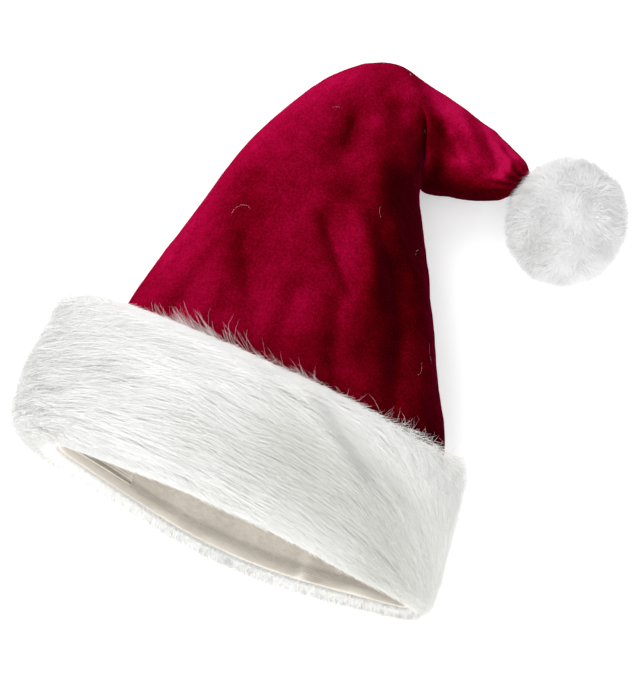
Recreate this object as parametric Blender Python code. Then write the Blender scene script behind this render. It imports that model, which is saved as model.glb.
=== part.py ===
"""A velvet santa hat with a fur band and a pompom, lying on its back on a flat surface.

Metres, +Z up. The origin is on the surface that the hat lies on, under the middle of the fur band.
The mouth faces -Y, the crown runs towards +Y, and its bent tip carries the pompom on the +X side.
Every piece follows one shape, the crown's cross-sections, so the walls nest at even distances.
"""

import math
from collections import namedtuple

import bmesh
import bpy
import numpy as np
from mathutils import Vector

# Cloth thicknesses and the clearance between neighbouring pieces
VELVET_WALL = 0.0020
LINING_WALL = 0.0010
ELASTIC_WALL = 0.0014
CLEARANCE = 0.0004

# The crown's cross-sections from the mouth to the tip. Each is a closed oval that stands on the line
# from its left end to its right end, seen from above, and reaches from base_z up to top_z.
# waist is the share of that height where the oval is widest. At the slanting mouth the middle of the
# underside runs ahead of that line, and the middle of the top stays behind it.
Section = namedtuple("Section", "name left_x left_y right_x right_y base_z top_z waist ahead behind")
CROWN_SECTIONS = (
    Section("mouth", -0.1290, -0.0490, 0.1280, -0.0490, 0.0150, 0.1140, 0.50, 0.0115, 0.0055),
    Section("mid band", -0.1300, 0.0020, 0.1190, 0.0010, 0.0130, 0.1150, 0.50, 0.0040, 0.0020),
    Section("band top", -0.1290, 0.0560, 0.1080, 0.0530, 0.0070, 0.1130, 0.48, 0.0, 0.0),
    Section("low body", -0.1255, 0.0980, 0.0890, 0.0920, -0.0020, 0.1060, 0.46, 0.0, 0.0),
    Section("mid body", -0.1185, 0.1440, 0.0655, 0.1360, -0.0040, 0.0970, 0.45, 0.0, 0.0),
    Section("high body", -0.1100, 0.1930, 0.0405, 0.1840, -0.0040, 0.0880, 0.45, 0.0, 0.0),
    Section("shoulder", -0.0950, 0.2400, 0.0215, 0.2180, -0.0040, 0.0800, 0.46, 0.0, 0.0),
    Section("bend in", -0.0705, 0.2835, 0.0130, 0.2450, -0.0030, 0.0730, 0.48, 0.0, 0.0),
    Section("bend top", -0.0380, 0.3045, 0.0090, 0.2690, -0.0020, 0.0670, 0.50, 0.0, 0.0),
    Section("bend out", -0.0010, 0.3005, 0.0165, 0.2430, 0.0000, 0.0620, 0.48, 0.0, 0.0),
    Section("tip root", 0.0285, 0.2940, 0.0290, 0.2325, 0.0050, 0.0610, 0.48, 0.0, 0.0),
    Section("tip middle", 0.0530, 0.2855, 0.0520, 0.2380, 0.0120, 0.0600, 0.50, 0.0, 0.0),
    Section("tip end", 0.0755, 0.2740, 0.0685, 0.2435, 0.0210, 0.0590, 0.50, 0.0, 0.0),
    Section("neck", 0.0835, 0.2670, 0.0775, 0.2490, 0.0310, 0.0520, 0.50, 0.0, 0.0),
)
# Exponents of the ovals: 2 is an ellipse, and more is squarer, as where the cloth lies flat
TOP_ROUNDNESS = 2.15
UNDERSIDE_ROUNDNESS = 2.9
SECTIONS_PER_ROW = 3
# More columns run over the upper half, where the folds are, than under the half that lies flat
UPPER_COLUMNS = 22
UNDER_COLUMNS = 12

# Soft folds in the velvet: a ridge, or a valley where height is negative, from start to end as seen
# from above, fading out over width to each side.
Fold = namedtuple("Fold", "name start_x start_y end_x end_y width height")
CROWN_FOLDS = (
    Fold("first tip fold", 0.008, 0.282, 0.034, 0.254, 0.0090, -0.0045),
    Fold("ridge between the tip folds", 0.024, 0.288, 0.050, 0.250, 0.0100, 0.0035),
    Fold("second tip fold", 0.040, 0.284, 0.064, 0.256, 0.0085, -0.0035),
    Fold("bend hollow", -0.038, 0.246, -0.037, 0.212, 0.0150, -0.0060),
    Fold("middle crease", -0.026, 0.162, 0.010, 0.120, 0.0115, -0.0060),
    Fold("ridge beside the crease", -0.008, 0.182, 0.026, 0.140, 0.0120, 0.0040),
    Fold("left hollow", -0.072, 0.138, -0.050, 0.092, 0.0180, -0.0060),
    Fold("slope edge", -0.008, 0.216, 0.020, 0.140, 0.0160, 0.0050),
    Fold("right ridge", 0.018, 0.178, 0.048, 0.148, 0.0110, 0.0050),
    Fold("right hollow", 0.034, 0.146, 0.062, 0.092, 0.0140, -0.0070),
    Fold("left hem pleat", -0.104, 0.124, -0.110, 0.082, 0.0110, -0.0050),
    Fold("right hem pleat", 0.006, 0.108, 0.018, 0.084, 0.0110, -0.0040),
)

# The lining is a bag as deep as a head, which ends inside the crown well before the bend
LINING_ROWS = 4
LINING_END_STEPS = 4
LINING_END_REACH = 0.020

# The elastic band is sewn over the lining at the mouth, on the left and part of the underside
ELASTIC_START_COLUMN = 21
ELASTIC_END_COLUMN = 26
ELASTIC_FROM_MOUTH = 0.006
ELASTIC_WIDTH = 0.026
ELASTIC_CORDS = 5
ELASTIC_CORD_RISE = 0.0007

# The fur band. Its pile is this deep at the mouth and at the band's top, by side.
PileDepth = namedtuple("PileDepth", "side angle at_mouth at_top")
PILE_DEPTHS = (
    PileDepth("right", 0.0, 0.0120, 0.0160),
    PileDepth("upper", 90.0, 0.0220, 0.0190),
    PileDepth("left", 180.0, 0.0300, 0.0335),
    PileDepth("under", 270.0, 0.0185, 0.0165),
)
# The band's section, from the corner in front of the velvet's edge, round the lip at the mouth and
# over the fur to the edge against the velvet. depth is a share of the pile's depth, and inset is how
# far a point lies inside the velvet's outer face, where the lip laps over the cloth edges.
BandPoint = namedtuple("BandPoint", "y depth inset")
BAND_SECTION = (
    BandPoint(-0.0497, 0.00, 0.0000),
    BandPoint(-0.0497, 0.00, 0.0036),
    BandPoint(-0.0520, 0.00, 0.0034),
    BandPoint(-0.0540, 0.10, 0.0010),
    BandPoint(-0.0548, 0.34, 0.0),
    BandPoint(-0.0525, 0.60, 0.0),
    BandPoint(-0.0450, 0.82, 0.0),
    BandPoint(-0.0340, 0.94, 0.0),
    BandPoint(-0.0210, 1.00, 0.0),
    BandPoint(-0.0070, 1.03, 0.0),
    BandPoint(0.0070, 1.03, 0.0),
    BandPoint(0.0200, 1.01, 0.0),
    BandPoint(0.0320, 0.94, 0.0),
    BandPoint(0.0420, 0.80, 0.0),
    BandPoint(0.0480, 0.55, 0.0),
    BandPoint(0.0490, 0.26, 0.0),
    BandPoint(0.0460, 0.00, 0.0),
    BandPoint(0.0170, 0.00, 0.0),
    BandPoint(-0.0160, 0.00, 0.0),
)
BAND_COLUMNS = 80
BAND_LOCKS = 20
BAND_LOCK_RISE = 0.0036
BAND_LOCK_SLANT = 0.22
BAND_TUFTS = 30
BAND_TUFT_REACH = 0.0030

# The pompom
POMPOM_RADIUS = 0.0410
POMPOM_CENTRE_Z = 0.0400
POMPOM_LOCKS = 90
POMPOM_LOCK_RISE = 0.0030
POMPOM_LOCK_WIDTH = 0.0070

VELVET_RED = (0.33, 0.004, 0.025, 1.0)
FUR_WHITE = (0.86, 0.86, 0.84, 1.0)
LINING_CREAM = (0.62, 0.56, 0.48, 1.0)
ELASTIC_CREAM = (0.66, 0.60, 0.51, 1.0)


def smooth_between(rows, at):
    """The rows' numbers at fractional row numbers, on a Catmull-Rom curve through every row."""
    rows = np.asarray(rows, float)
    at = np.clip(np.asarray(at, float), 0, len(rows) - 1)
    first = np.minimum(at.astype(int), len(rows) - 2)
    t = (at - first)[:, None]
    padded = np.vstack([2 * rows[0] - rows[1], rows, 2 * rows[-1] - rows[-2]])
    before, here, after, beyond = (padded[first + step] for step in range(4))
    return 0.5 * (
        2 * here
        + (after - before) * t
        + (2 * before - 5 * here + 4 * after - beyond) * t**2
        + (3 * here - before - 3 * after + beyond) * t**3
    )


def signed_power(values, exponent):
    return np.sign(values) * np.abs(values) ** exponent


def ring_angles():
    upper = np.arange(UPPER_COLUMNS) * math.pi / UPPER_COLUMNS
    under = math.pi + np.arange(UNDER_COLUMNS) * math.pi / UNDER_COLUMNS
    return np.concatenate([upper, under])


def crown_surface(stations, angles):
    """Points of the velvet's outside, shaped (stations, angles, 3). Angle 0 is the right end of a
    section, and 90 degrees its top."""
    rows = smooth_between([section[1:] for section in CROWN_SECTIONS], stations)
    left, right = rows[:, None, 0:2], rows[:, None, 2:4]
    base, top, waist, ahead, behind = (rows[:, None, column] for column in range(4, 9))
    across, up = np.cos(angles)[None], np.sin(angles)[None]
    power = np.where(up >= 0, 2 / TOP_ROUNDNESS, 2 / UNDERSIDE_ROUNDNESS)
    across, up = signed_power(across, power), signed_power(up, power)
    waist_z = base + waist * (top - base)
    plan = (left + right) / 2 + across[..., None] * (right - left) / 2
    height = waist_z + up * np.where(up >= 0, top - waist_z, waist_z - base)
    height = height + fold_height(plan) * np.clip(up, 0, 1)
    slant = np.where(up >= 0, behind, -ahead) * (1 - across**2) ** 2
    return np.dstack([plan[..., 0], plan[..., 1] + slant, np.maximum(height, 0.0)])


def fold_height(plan):
    """The sum of the folds at points seen from above. Each fades with the distance from its line."""
    total = np.zeros(plan.shape[:-1])
    for fold in CROWN_FOLDS:
        start = np.array([fold.start_x, fold.start_y])
        run = np.array([fold.end_x, fold.end_y]) - start
        along = np.clip(((plan - start) @ run) / (run @ run), 0, 1)
        off = np.linalg.norm(plan - start - along[..., None] * run, axis=-1)
        total += fold.height * np.exp(-((off / fold.width) ** 2))
    return total


def outward_normals(grid):
    """Unit normals of a grid of points whose second axis closes on itself."""
    around = np.roll(grid, -1, axis=1) - np.roll(grid, 1, axis=1)
    along = np.gradient(grid, axis=0)
    normals = np.cross(around, along)
    return -normals / np.linalg.norm(normals, axis=2, keepdims=True)


def crown_grid(inset=0.0):
    """The crown's outside, or the surface that lies inset inside it."""
    stations = np.linspace(0, len(CROWN_SECTIONS) - 1, (len(CROWN_SECTIONS) - 1) * SECTIONS_PER_ROW + 1)
    grid = crown_surface(stations, ring_angles())
    return grid - inset * outward_normals(grid)


def tube_mesh(name, grid, close_end=False, join_ends=False):
    """A mesh of quads over a grid whose second axis closes. The last ring gets one face over it, or
    is joined to the first ring."""
    rings, columns = grid.shape[:2]
    ring, column = np.meshgrid(np.arange(rings - (not join_ends)), np.arange(columns), indexing="ij")
    next_ring, next_column = (ring + 1) % rings, (column + 1) % columns
    corners = (
        ring * columns + column,
        next_ring * columns + column,
        next_ring * columns + next_column,
        ring * columns + next_column,
    )
    faces = np.stack(corners, axis=-1).reshape(-1, 4).tolist()
    if close_end:
        faces.append([(rings - 1) * columns + k for k in range(columns)][::-1])
    mesh = bpy.data.meshes.new(name)
    mesh.from_pydata(grid.reshape(-1, 3).tolist(), [], faces)
    return mesh


def face_outwards(mesh):
    form = bmesh.new()
    form.from_mesh(mesh)
    bmesh.ops.recalc_face_normals(form, faces=form.faces)
    form.to_mesh(mesh)
    form.free()


def add_piece(name, mesh, material):
    """A named object for a mesh, shaded smooth but for its edges."""
    piece = bpy.data.objects.new(name, mesh)
    bpy.context.scene.collection.objects.link(piece)
    mesh.materials.append(material)
    mesh.shade_smooth()
    mesh.set_sharp_from_angle(angle=math.radians(50))
    return piece


def give_thickness(piece, wall):
    """Thickens a sheet inwards into a closed wall."""
    solidify = piece.modifiers.new("wall", "SOLIDIFY")
    solidify.thickness = wall
    solidify.offset = -1
    solidify.use_rim = True


def cloth(name, colour, roughness, sheen):
    material = bpy.data.materials.new(name)
    material.use_nodes = True
    shader = material.node_tree.nodes["Principled BSDF"]
    shader.inputs["Base Color"].default_value = colour
    shader.inputs["Roughness"].default_value = roughness
    shader.inputs["Metallic"].default_value = 0.0
    shader.inputs["Sheen Weight"].default_value = sheen
    material.diffuse_color = colour
    return material


def build_crown():
    piece = add_piece(
        "crown",
        tube_mesh("crown", crown_grid(), close_end=True),
        cloth("velvet", VELVET_RED, roughness=0.75, sheen=0.8),
    )
    give_thickness(piece, VELVET_WALL)


def build_lining():
    """The lining follows the velvet's inside, then closes in a rounded end like a sewn bag."""
    grid = crown_grid(inset=VELVET_WALL + CLEARANCE)
    grid = grid[: LINING_ROWS * SECTIONS_PER_ROW + 1]
    last, forward = grid[-1], grid[-1].mean(axis=0) - grid[-2].mean(axis=0)
    forward /= np.linalg.norm(forward)
    turns = np.linspace(0, math.pi / 2, LINING_END_STEPS + 1)[1:-1]
    middle = last.mean(axis=0)
    rounded = [
        middle + (last - middle) * math.cos(turn) + forward * LINING_END_REACH * math.sin(turn)
        for turn in turns
    ]
    grid = np.concatenate([grid, np.stack(rounded)])
    piece = add_piece(
        "lining",
        tube_mesh("lining", grid, close_end=True),
        cloth("lining_cotton", LINING_CREAM, roughness=0.9, sheen=0.1),
    )
    give_thickness(piece, LINING_WALL)


def build_elastic_band():
    """A narrow strip on the lining's inside, with a raised line over each rubber cord in it."""
    lining_face = VELVET_WALL + CLEARANCE + LINING_WALL + CLEARANCE
    rings = crown_grid()[: SECTIONS_PER_ROW + 1]
    normals = outward_normals(rings)
    across = np.linspace(0, 1, 2 * ELASTIC_CORDS + 1)
    rise = ELASTIC_WALL + ELASTIC_CORD_RISE * np.sin(across * ELASTIC_CORDS * math.pi) ** 2
    loops = []
    for column in range(ELASTIC_START_COLUMN, ELASTIC_END_COLUMN + 1):
        wall = rings[:, column] - lining_face * normals[:, column]
        y = wall[0, 1] + ELASTIC_FROM_MOUTH + across * ELASTIC_WIDTH
        back = np.stack([np.interp(y, wall[:, 1], wall[:, axis]) for axis in range(3)], axis=1)
        front = back - normals[1, column] * rise[:, None]
        loops.append(np.concatenate([back, front[::-1]]))
    mesh = tube_mesh("elastic_band", np.stack(loops), close_end=True)
    cap_first_ring(mesh, len(loops[0]))
    face_outwards(mesh)
    add_piece("elastic_band", mesh, cloth("elastic_webbing", ELASTIC_CREAM, roughness=0.9, sheen=0.1))


def cap_first_ring(mesh, columns):
    form = bmesh.new()
    form.from_mesh(mesh)
    form.verts.ensure_lookup_table()
    form.faces.new([form.verts[k] for k in range(columns)])
    form.to_mesh(mesh)
    form.free()


def pile_depth(angles, along):
    """The fur's depth round the band, and along it from the mouth (0) to the band's top (1)."""
    sides = sorted(PILE_DEPTHS, key=lambda side: side.angle)
    at = np.degrees(angles) % 360
    marks = [side.angle for side in sides] + [360.0]

    def eased(values):
        values = values + values[:1]
        step = np.searchsorted(marks, at, side="right") - 1
        share = (at - np.take(marks, step)) / np.diff(marks)[step]
        share = share * share * (3 - 2 * share)
        return np.take(values, step) * (1 - share) + np.take(values, step + 1) * share

    mouth = eased([side.at_mouth for side in sides])
    top = eased([side.at_top for side in sides])
    return mouth[None] * (1 - along[:, None]) + top[None] * along[:, None]


def lock_wave(turns):
    """A saw wave from 0 to 1 that rises slowly and falls fast, once a turn, as locks overlap."""
    phase = turns % 1.0
    return np.where(phase < 0.75, phase / 0.75, (1 - phase) / 0.25)


def build_fur_band():
    """A ring of pile round the crown's mouth. Its outside is combed into slanting locks, and its
    edges at the mouth and against the velvet end in tufts."""
    profile = np.array(BAND_SECTION)
    y, share, inset = profile.T
    angles = np.arange(BAND_COLUMNS) * 2 * math.pi / BAND_COLUMNS
    wall = band_wall(y, angles)
    around = np.roll(wall, -1, axis=1) - np.roll(wall, 1, axis=1)
    outward = np.stack([around[..., 2], np.zeros_like(around[..., 0]), -around[..., 0]], axis=-1)
    outward /= np.linalg.norm(outward, axis=2, keepdims=True)
    along = np.interp(y, [y.min(), y.max()], [0, 1])
    depth = pile_depth(angles, along) * share[:, None]
    turn = angles[None] / (2 * math.pi)
    locks = BAND_LOCK_RISE * share[:, None] * lock_wave(BAND_LOCKS * (turn + BAND_LOCK_SLANT * along[:, None]))
    grid = wall + outward * (CLEARANCE + depth + locks - inset[:, None])[..., None]
    to_edge = np.sign(along - 0.5) * np.abs(2 * along - 1) ** 6 * (share > 0.2)
    grid[..., 1] += BAND_TUFT_REACH * to_edge[:, None] * lock_wave(BAND_TUFTS * turn)
    grid[..., 2] = np.maximum(grid[..., 2], 0.0)
    mesh = tube_mesh("fur_band", grid, join_ends=True)
    face_outwards(mesh)
    add_piece("fur_band", mesh, cloth("white_fur", FUR_WHITE, roughness=0.9, sheen=0.3))


def band_wall(y, angles):
    """The velvet's outside under the band, in rows y from the middle. Rows past the mouth go straight
    on from it."""
    fine = np.linspace(0, 3, 61)
    sides = smooth_between([section[1:] for section in CROWN_SECTIONS], fine)
    wall = crown_surface(np.interp(y, sides[:, 1], fine), angles)
    wall[..., 1] += np.minimum(y - sides[0, 1], 0)[:, None]
    return wall


def pompom_centre():
    """The ball's centre: its surface touches the middle of the crown's closed neck."""
    neck, tip_end = CROWN_SECTIONS[-1], CROWN_SECTIONS[-2]
    middle = Vector(((neck.left_x + neck.right_x) / 2, (neck.left_y + neck.right_y) / 2, 0))
    before = Vector(((tip_end.left_x + tip_end.right_x) / 2, (tip_end.left_y + tip_end.right_y) / 2, 0))
    side = Vector((neck.right_x - neck.left_x, neck.right_y - neck.left_y, 0))
    forward = Vector((-side.y, side.x, 0)).normalized()
    if forward.dot(middle - before) < 0:
        forward.negate()
    centre = middle + forward * (POMPOM_RADIUS + CLEARANCE)
    centre.z = POMPOM_CENTRE_Z
    return centre, -forward


def build_pompom():
    """A ball of fur combed into tufts, bare where it is sewn to the crown and flat where it lies."""
    centre, seat = pompom_centre()
    mesh = bpy.data.meshes.new("pompom")
    form = bmesh.new()
    bmesh.ops.create_icosphere(form, subdivisions=4, radius=POMPOM_RADIUS)
    golden = math.pi * (3 - math.sqrt(5))
    tufts = [
        Vector((math.sqrt(1 - h * h) * math.cos(k * golden), math.sqrt(1 - h * h) * math.sin(k * golden), h))
        for k in range(POMPOM_LOCKS)
        for h in [1 - 2 * (k + 0.5) / POMPOM_LOCKS]
    ]
    for vertex in form.verts:
        towards = vertex.co.normalized()
        nearest = min((towards - tuft).length for tuft in tufts) * POMPOM_RADIUS
        rise = POMPOM_LOCK_RISE * max(0.0, 1 - nearest / POMPOM_LOCK_WIDTH)
        bare = max(0.0, towards.dot(seat))
        vertex.co = centre + towards * (POMPOM_RADIUS + rise * (1 - bare**2))
        vertex.co.z = max(vertex.co.z, 0.0)
    form.to_mesh(mesh)
    form.free()
    add_piece("pompom", mesh, cloth("white_plush", FUR_WHITE, roughness=0.9, sheen=0.3))


def main():
    for thing in list(bpy.data.objects):
        bpy.data.objects.remove(thing)
    build_crown()
    build_lining()
    build_elastic_band()
    build_fur_band()
    build_pompom()


main()
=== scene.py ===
# %% [markdown]
# # A velvet santa hat with a fur band and a pompom
# The hat lies on its back, seen from above. Every shape below is a surface worked out with numpy: a
# function gives points for whole arrays of two parameters, and the arrays become a mesh at the end.
# The frame that is loaded first holds the hat's plain solids, and each finished piece stands for one.

# %% Load the frame
import math
from collections import namedtuple

import bpy
import numpy as np
from mathutils import Matrix, Vector


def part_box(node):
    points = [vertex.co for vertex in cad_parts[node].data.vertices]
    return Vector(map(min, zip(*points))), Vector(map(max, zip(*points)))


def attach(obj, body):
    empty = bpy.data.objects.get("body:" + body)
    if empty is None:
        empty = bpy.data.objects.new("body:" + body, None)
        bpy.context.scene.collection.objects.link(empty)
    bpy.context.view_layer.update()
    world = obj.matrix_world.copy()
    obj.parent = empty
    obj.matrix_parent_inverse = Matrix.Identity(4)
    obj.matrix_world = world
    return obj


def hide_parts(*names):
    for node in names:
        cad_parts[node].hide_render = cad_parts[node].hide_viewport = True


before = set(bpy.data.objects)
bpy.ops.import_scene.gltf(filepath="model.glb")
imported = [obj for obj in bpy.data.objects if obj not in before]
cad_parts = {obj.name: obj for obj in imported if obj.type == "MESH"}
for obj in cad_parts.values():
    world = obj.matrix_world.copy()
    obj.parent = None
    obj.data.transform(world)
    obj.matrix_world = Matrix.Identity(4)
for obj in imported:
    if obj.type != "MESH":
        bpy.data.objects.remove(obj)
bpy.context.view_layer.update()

# %% [markdown]
# ## Camera, floor and light
# The camera looks down on the hat from 74 degrees, a little from the right of the mouth. A long lens
# keeps the shape natural. One large soft light stands at the upper left, as in a studio, a wide one
# hangs above, a third looks in from the mouth's side, and a pale surround fills the shadows. The floor
# is pale and plain and lies just under the hat. It is a light table, so the shadows on it stay faint.

# %% Camera
VIEW_AZIMUTH, VIEW_ELEVATION = math.radians(24), math.radians(74)
VIEW_TARGET = Vector((0.0022, 0.0880, 0.0500))
VIEW_DISTANCE = 1.318
VIEW_LENS = 100

view_back = Vector(
    (
        math.sin(VIEW_AZIMUTH) * math.cos(VIEW_ELEVATION),
        -math.cos(VIEW_AZIMUTH) * math.cos(VIEW_ELEVATION),
        math.sin(VIEW_ELEVATION),
    )
)
view_right = Vector((math.cos(VIEW_AZIMUTH), math.sin(VIEW_AZIMUTH), 0))
view_up = view_back.cross(view_right)


def make_camera():
    """The camera's three axes are its right, its up and the way back from what it looks at."""
    data = bpy.data.cameras.new("camera")
    data.lens = VIEW_LENS
    camera = bpy.data.objects.new("camera", data)
    bpy.context.scene.collection.objects.link(camera)
    turn = Matrix((view_right, view_up, view_back)).transposed().to_4x4()
    camera.matrix_world = Matrix.Translation(VIEW_TARGET + view_back * VIEW_DISTANCE) @ turn
    bpy.context.scene.camera = camera


make_camera()
print("the camera stands", VIEW_DISTANCE, "m from the hat")


# %% Floor and light
def principled(name, colour, roughness):
    """A new material with a Principled shader, and that shader."""
    material = bpy.data.materials.new(name)
    material.use_nodes = True
    shader = material.node_tree.nodes["Principled BSDF"]
    shader.inputs["Base Color"].default_value = (*colour, 1)
    shader.inputs["Roughness"].default_value = roughness
    return material, shader


FLOOR_REACH = 3.0
FLOOR_HEIGHT = -0.0006
FLOOR_GLOW = 0.35


def make_floor():
    """A wide square just under the hat, which glows a little, as a light table does."""
    signs = ((-1, -1), (1, -1), (1, 1), (-1, 1))
    corners = [(FLOOR_REACH * x, FLOOR_REACH * y, FLOOR_HEIGHT) for x, y in signs]
    mesh = bpy.data.meshes.new("floor")
    mesh.from_pydata(corners, [], [(0, 1, 2, 3)])
    floor = bpy.data.objects.new("floor", mesh)
    bpy.context.scene.collection.objects.link(floor)
    material, shader = principled("pale_floor", (0.90, 0.90, 0.90), 0.9)
    shader.inputs["Emission Color"].default_value = (1, 1, 1, 1)
    shader.inputs["Emission Strength"].default_value = FLOOR_GLOW
    mesh.materials.append(material)


def make_area_light(name, place, aim, size, watts):
    """A square soft light at a place, turned towards a point."""
    data = bpy.data.lights.new(name, "AREA")
    data.size, data.energy = size, watts
    light = bpy.data.objects.new(name, data)
    light.location = place
    light.rotation_mode = "QUATERNION"
    light.rotation_quaternion = (Vector(aim) - Vector(place)).to_track_quat("-Z", "Y")
    bpy.context.scene.collection.objects.link(light)


def make_surround(strength):
    """An even pale surround on every side."""
    world = bpy.data.worlds.new("surround")
    world.use_nodes = True
    world.node_tree.nodes["Background"].inputs["Color"].default_value = (1, 1, 1, 1)
    world.node_tree.nodes["Background"].inputs["Strength"].default_value = strength
    bpy.context.scene.world = world


make_floor()
hat_middle = (0, 0.1, 0.05)
make_area_light("key", (-1.15, 0.75, 1.15), hat_middle, 0.9, 20)
make_area_light("top", (0.1, -0.2, 2.2), hat_middle, 1.6, 7)
make_area_light("front fill", (0.6, -1.3, 0.75), hat_middle, 1.2, 21)
make_surround(0.58)
bpy.context.scene.view_settings.view_transform = "Standard"
print("lights:", [light.name for light in bpy.data.lights])

# %% [markdown]
# ## Tools for surfaces
# Three small tools carry the whole hat. The first draws a smooth curve through the rows of a table, so
# a few named sections give a whole body. The second turns a grid of points into a mesh. The third is
# soft noise, random numbers that change smoothly over space, for all that is uneven in cloth and fur.


# %% Smooth tables
def smooth_between(rows, at):
    """Catmull-Rom: between two rows, the cubic that leaves each row along the line that joins the rows
    on either side of it. at holds fractional row numbers, in any shape."""
    rows = np.asarray(rows, float)
    at = np.clip(np.asarray(at, float), 0, len(rows) - 1)
    first = np.minimum(at.astype(int), len(rows) - 2)
    t = (at - first)[..., None]
    padded = np.vstack([2 * rows[0] - rows[1], rows, 2 * rows[-1] - rows[-2]])
    before, here, after, beyond = (padded[first + step] for step in range(4))
    return 0.5 * (
        2 * here
        + (after - before) * t
        + (2 * before - 5 * here + 4 * after - beyond) * t**2
        + (3 * here - before - 3 * after + beyond) * t**3
    )


# %% Grids to meshes
def link_mesh(name, points, faces, material, smooth=True):
    """An object from arrays of points and of faces that all have one number of corners."""
    faces = np.asarray(faces, np.int32)
    mesh = bpy.data.meshes.new(name)
    mesh.vertices.add(len(points))
    mesh.vertices.foreach_set("co", np.asarray(points, np.float32).ravel())
    mesh.loops.add(faces.size)
    mesh.loops.foreach_set("vertex_index", faces.ravel())
    mesh.polygons.add(len(faces))
    mesh.polygons.foreach_set("loop_start", np.arange(len(faces), dtype=np.int32) * faces.shape[1])
    mesh.update(calc_edges=True)
    if smooth:
        mesh.shade_smooth()
    else:
        mesh.shade_flat()
    mesh.materials.append(material)
    piece = bpy.data.objects.new(name, mesh)
    bpy.context.scene.collection.objects.link(piece)
    return piece


def grid_faces(rows, columns, close_rows=False, close_columns=True):
    """Four corners for each cell of a grid. Its columns close on themselves unless told otherwise, and
    its rows may too."""
    row, column = np.meshgrid(
        np.arange(rows - (not close_rows)), np.arange(columns - (not close_columns)), indexing="ij"
    )
    next_row, next_column = (row + 1) % rows, (column + 1) % columns
    corners = [
        row * columns + column,
        next_row * columns + column,
        next_row * columns + next_column,
        row * columns + next_column,
    ]
    return np.stack(corners, axis=-1).reshape(-1, 4)


def capped_grid(grid, tip):
    """Points and triangles of a grid whose last ring is closed by a fan round one point, its tip."""
    rings, columns = grid.shape[:2]
    quads = grid_faces(rings, columns)
    last = (rings - 1) * columns + np.arange(columns)
    fan = np.stack([last, np.full(columns, rings * columns), np.roll(last, -1)], axis=1)
    points = np.vstack([grid.reshape(-1, 3), tip])
    return points, np.concatenate([quads[:, [0, 1, 2]], quads[:, [0, 2, 3]], fan])


def unit(vectors):
    """Vectors divided by their lengths."""
    return vectors / np.maximum(np.linalg.norm(vectors, axis=-1, keepdims=True), 1e-12)


def grid_normals(grid):
    """Unit normals of a grid whose columns close: the cross product of the differences between its
    neighbours along it and around it."""
    around = np.roll(grid, -1, axis=1) - np.roll(grid, 1, axis=1)
    return unit(np.cross(np.gradient(grid, axis=0), around))


def give_numbers(piece, name, values):
    """An attribute for the material to read, one number for each point."""
    attribute = piece.data.attributes.new(name, "FLOAT", "POINT")
    attribute.data.foreach_set("value", np.asarray(values, np.float32).ravel())


def give_uv(piece, u, v):
    """A UV map from one pair of numbers for each point, in metres along the cloth."""
    mesh = piece.data
    corner = np.zeros(len(mesh.loops), np.int32)
    mesh.loops.foreach_get("vertex_index", corner)
    uv = np.stack([np.ravel(u)[corner], np.ravel(v)[corner]], axis=1)
    mesh.uv_layers.new(name="cloth").data.foreach_set("uv", uv.astype(np.float32).ravel())


def solidify(piece, thickness):
    """Gives a sheet its wall, on the inside."""
    wall = piece.modifiers.new("wall", "SOLIDIFY")
    wall.thickness = thickness
    wall.offset = -1
    wall.use_rim = True


# %% Soft noise
LATTICE_PRIMES = (73856093, 19349663, 83492791)


def lattice_value(cells, seed):
    """A fixed random number from -1 to 1 for each whole-numbered cell, by mixing its bits."""
    across, along, up = (cells[..., axis] * prime for axis, prime in enumerate(LATTICE_PRIMES))
    mixed = across ^ along ^ up ^ (seed * 7919)
    mixed = (mixed ^ (mixed >> 13)) * 1274126177
    mixed = mixed ^ (mixed >> 16)
    return (mixed & 0xFFFF) / 32767.5 - 1


def soft_noise(points, size, seed):
    """Smooth random numbers from -1 to 1: a number at each corner of a lattice of boxes of this size,
    eased from corner to corner."""
    cell = np.asarray(points, float) / np.asarray(size, float)
    low = np.floor(cell).astype(np.int64)
    share = cell - low
    share = share * share * (3 - 2 * share)
    total = np.zeros(share.shape[:-1])
    for corner in np.ndindex(2, 2, 2):
        step = np.array(corner)
        weight = np.prod(np.where(step, share, 1 - share), axis=-1)
        total += weight * lattice_value(low + step, seed)
    return total


# %% [markdown]
# ## The velvet crown
# The real crown is cut from two velvet panels, sewn into a cone, and its tip is folded over to one
# side. Here each cross-section is an oval that stands on a line from its left end to its right end,
# and a smooth curve runs through the table of them. The folds are ridges and valleys in a table too.
# Sculpting or a cloth simulation could make them, but the table keeps each one where it was seen.

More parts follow.
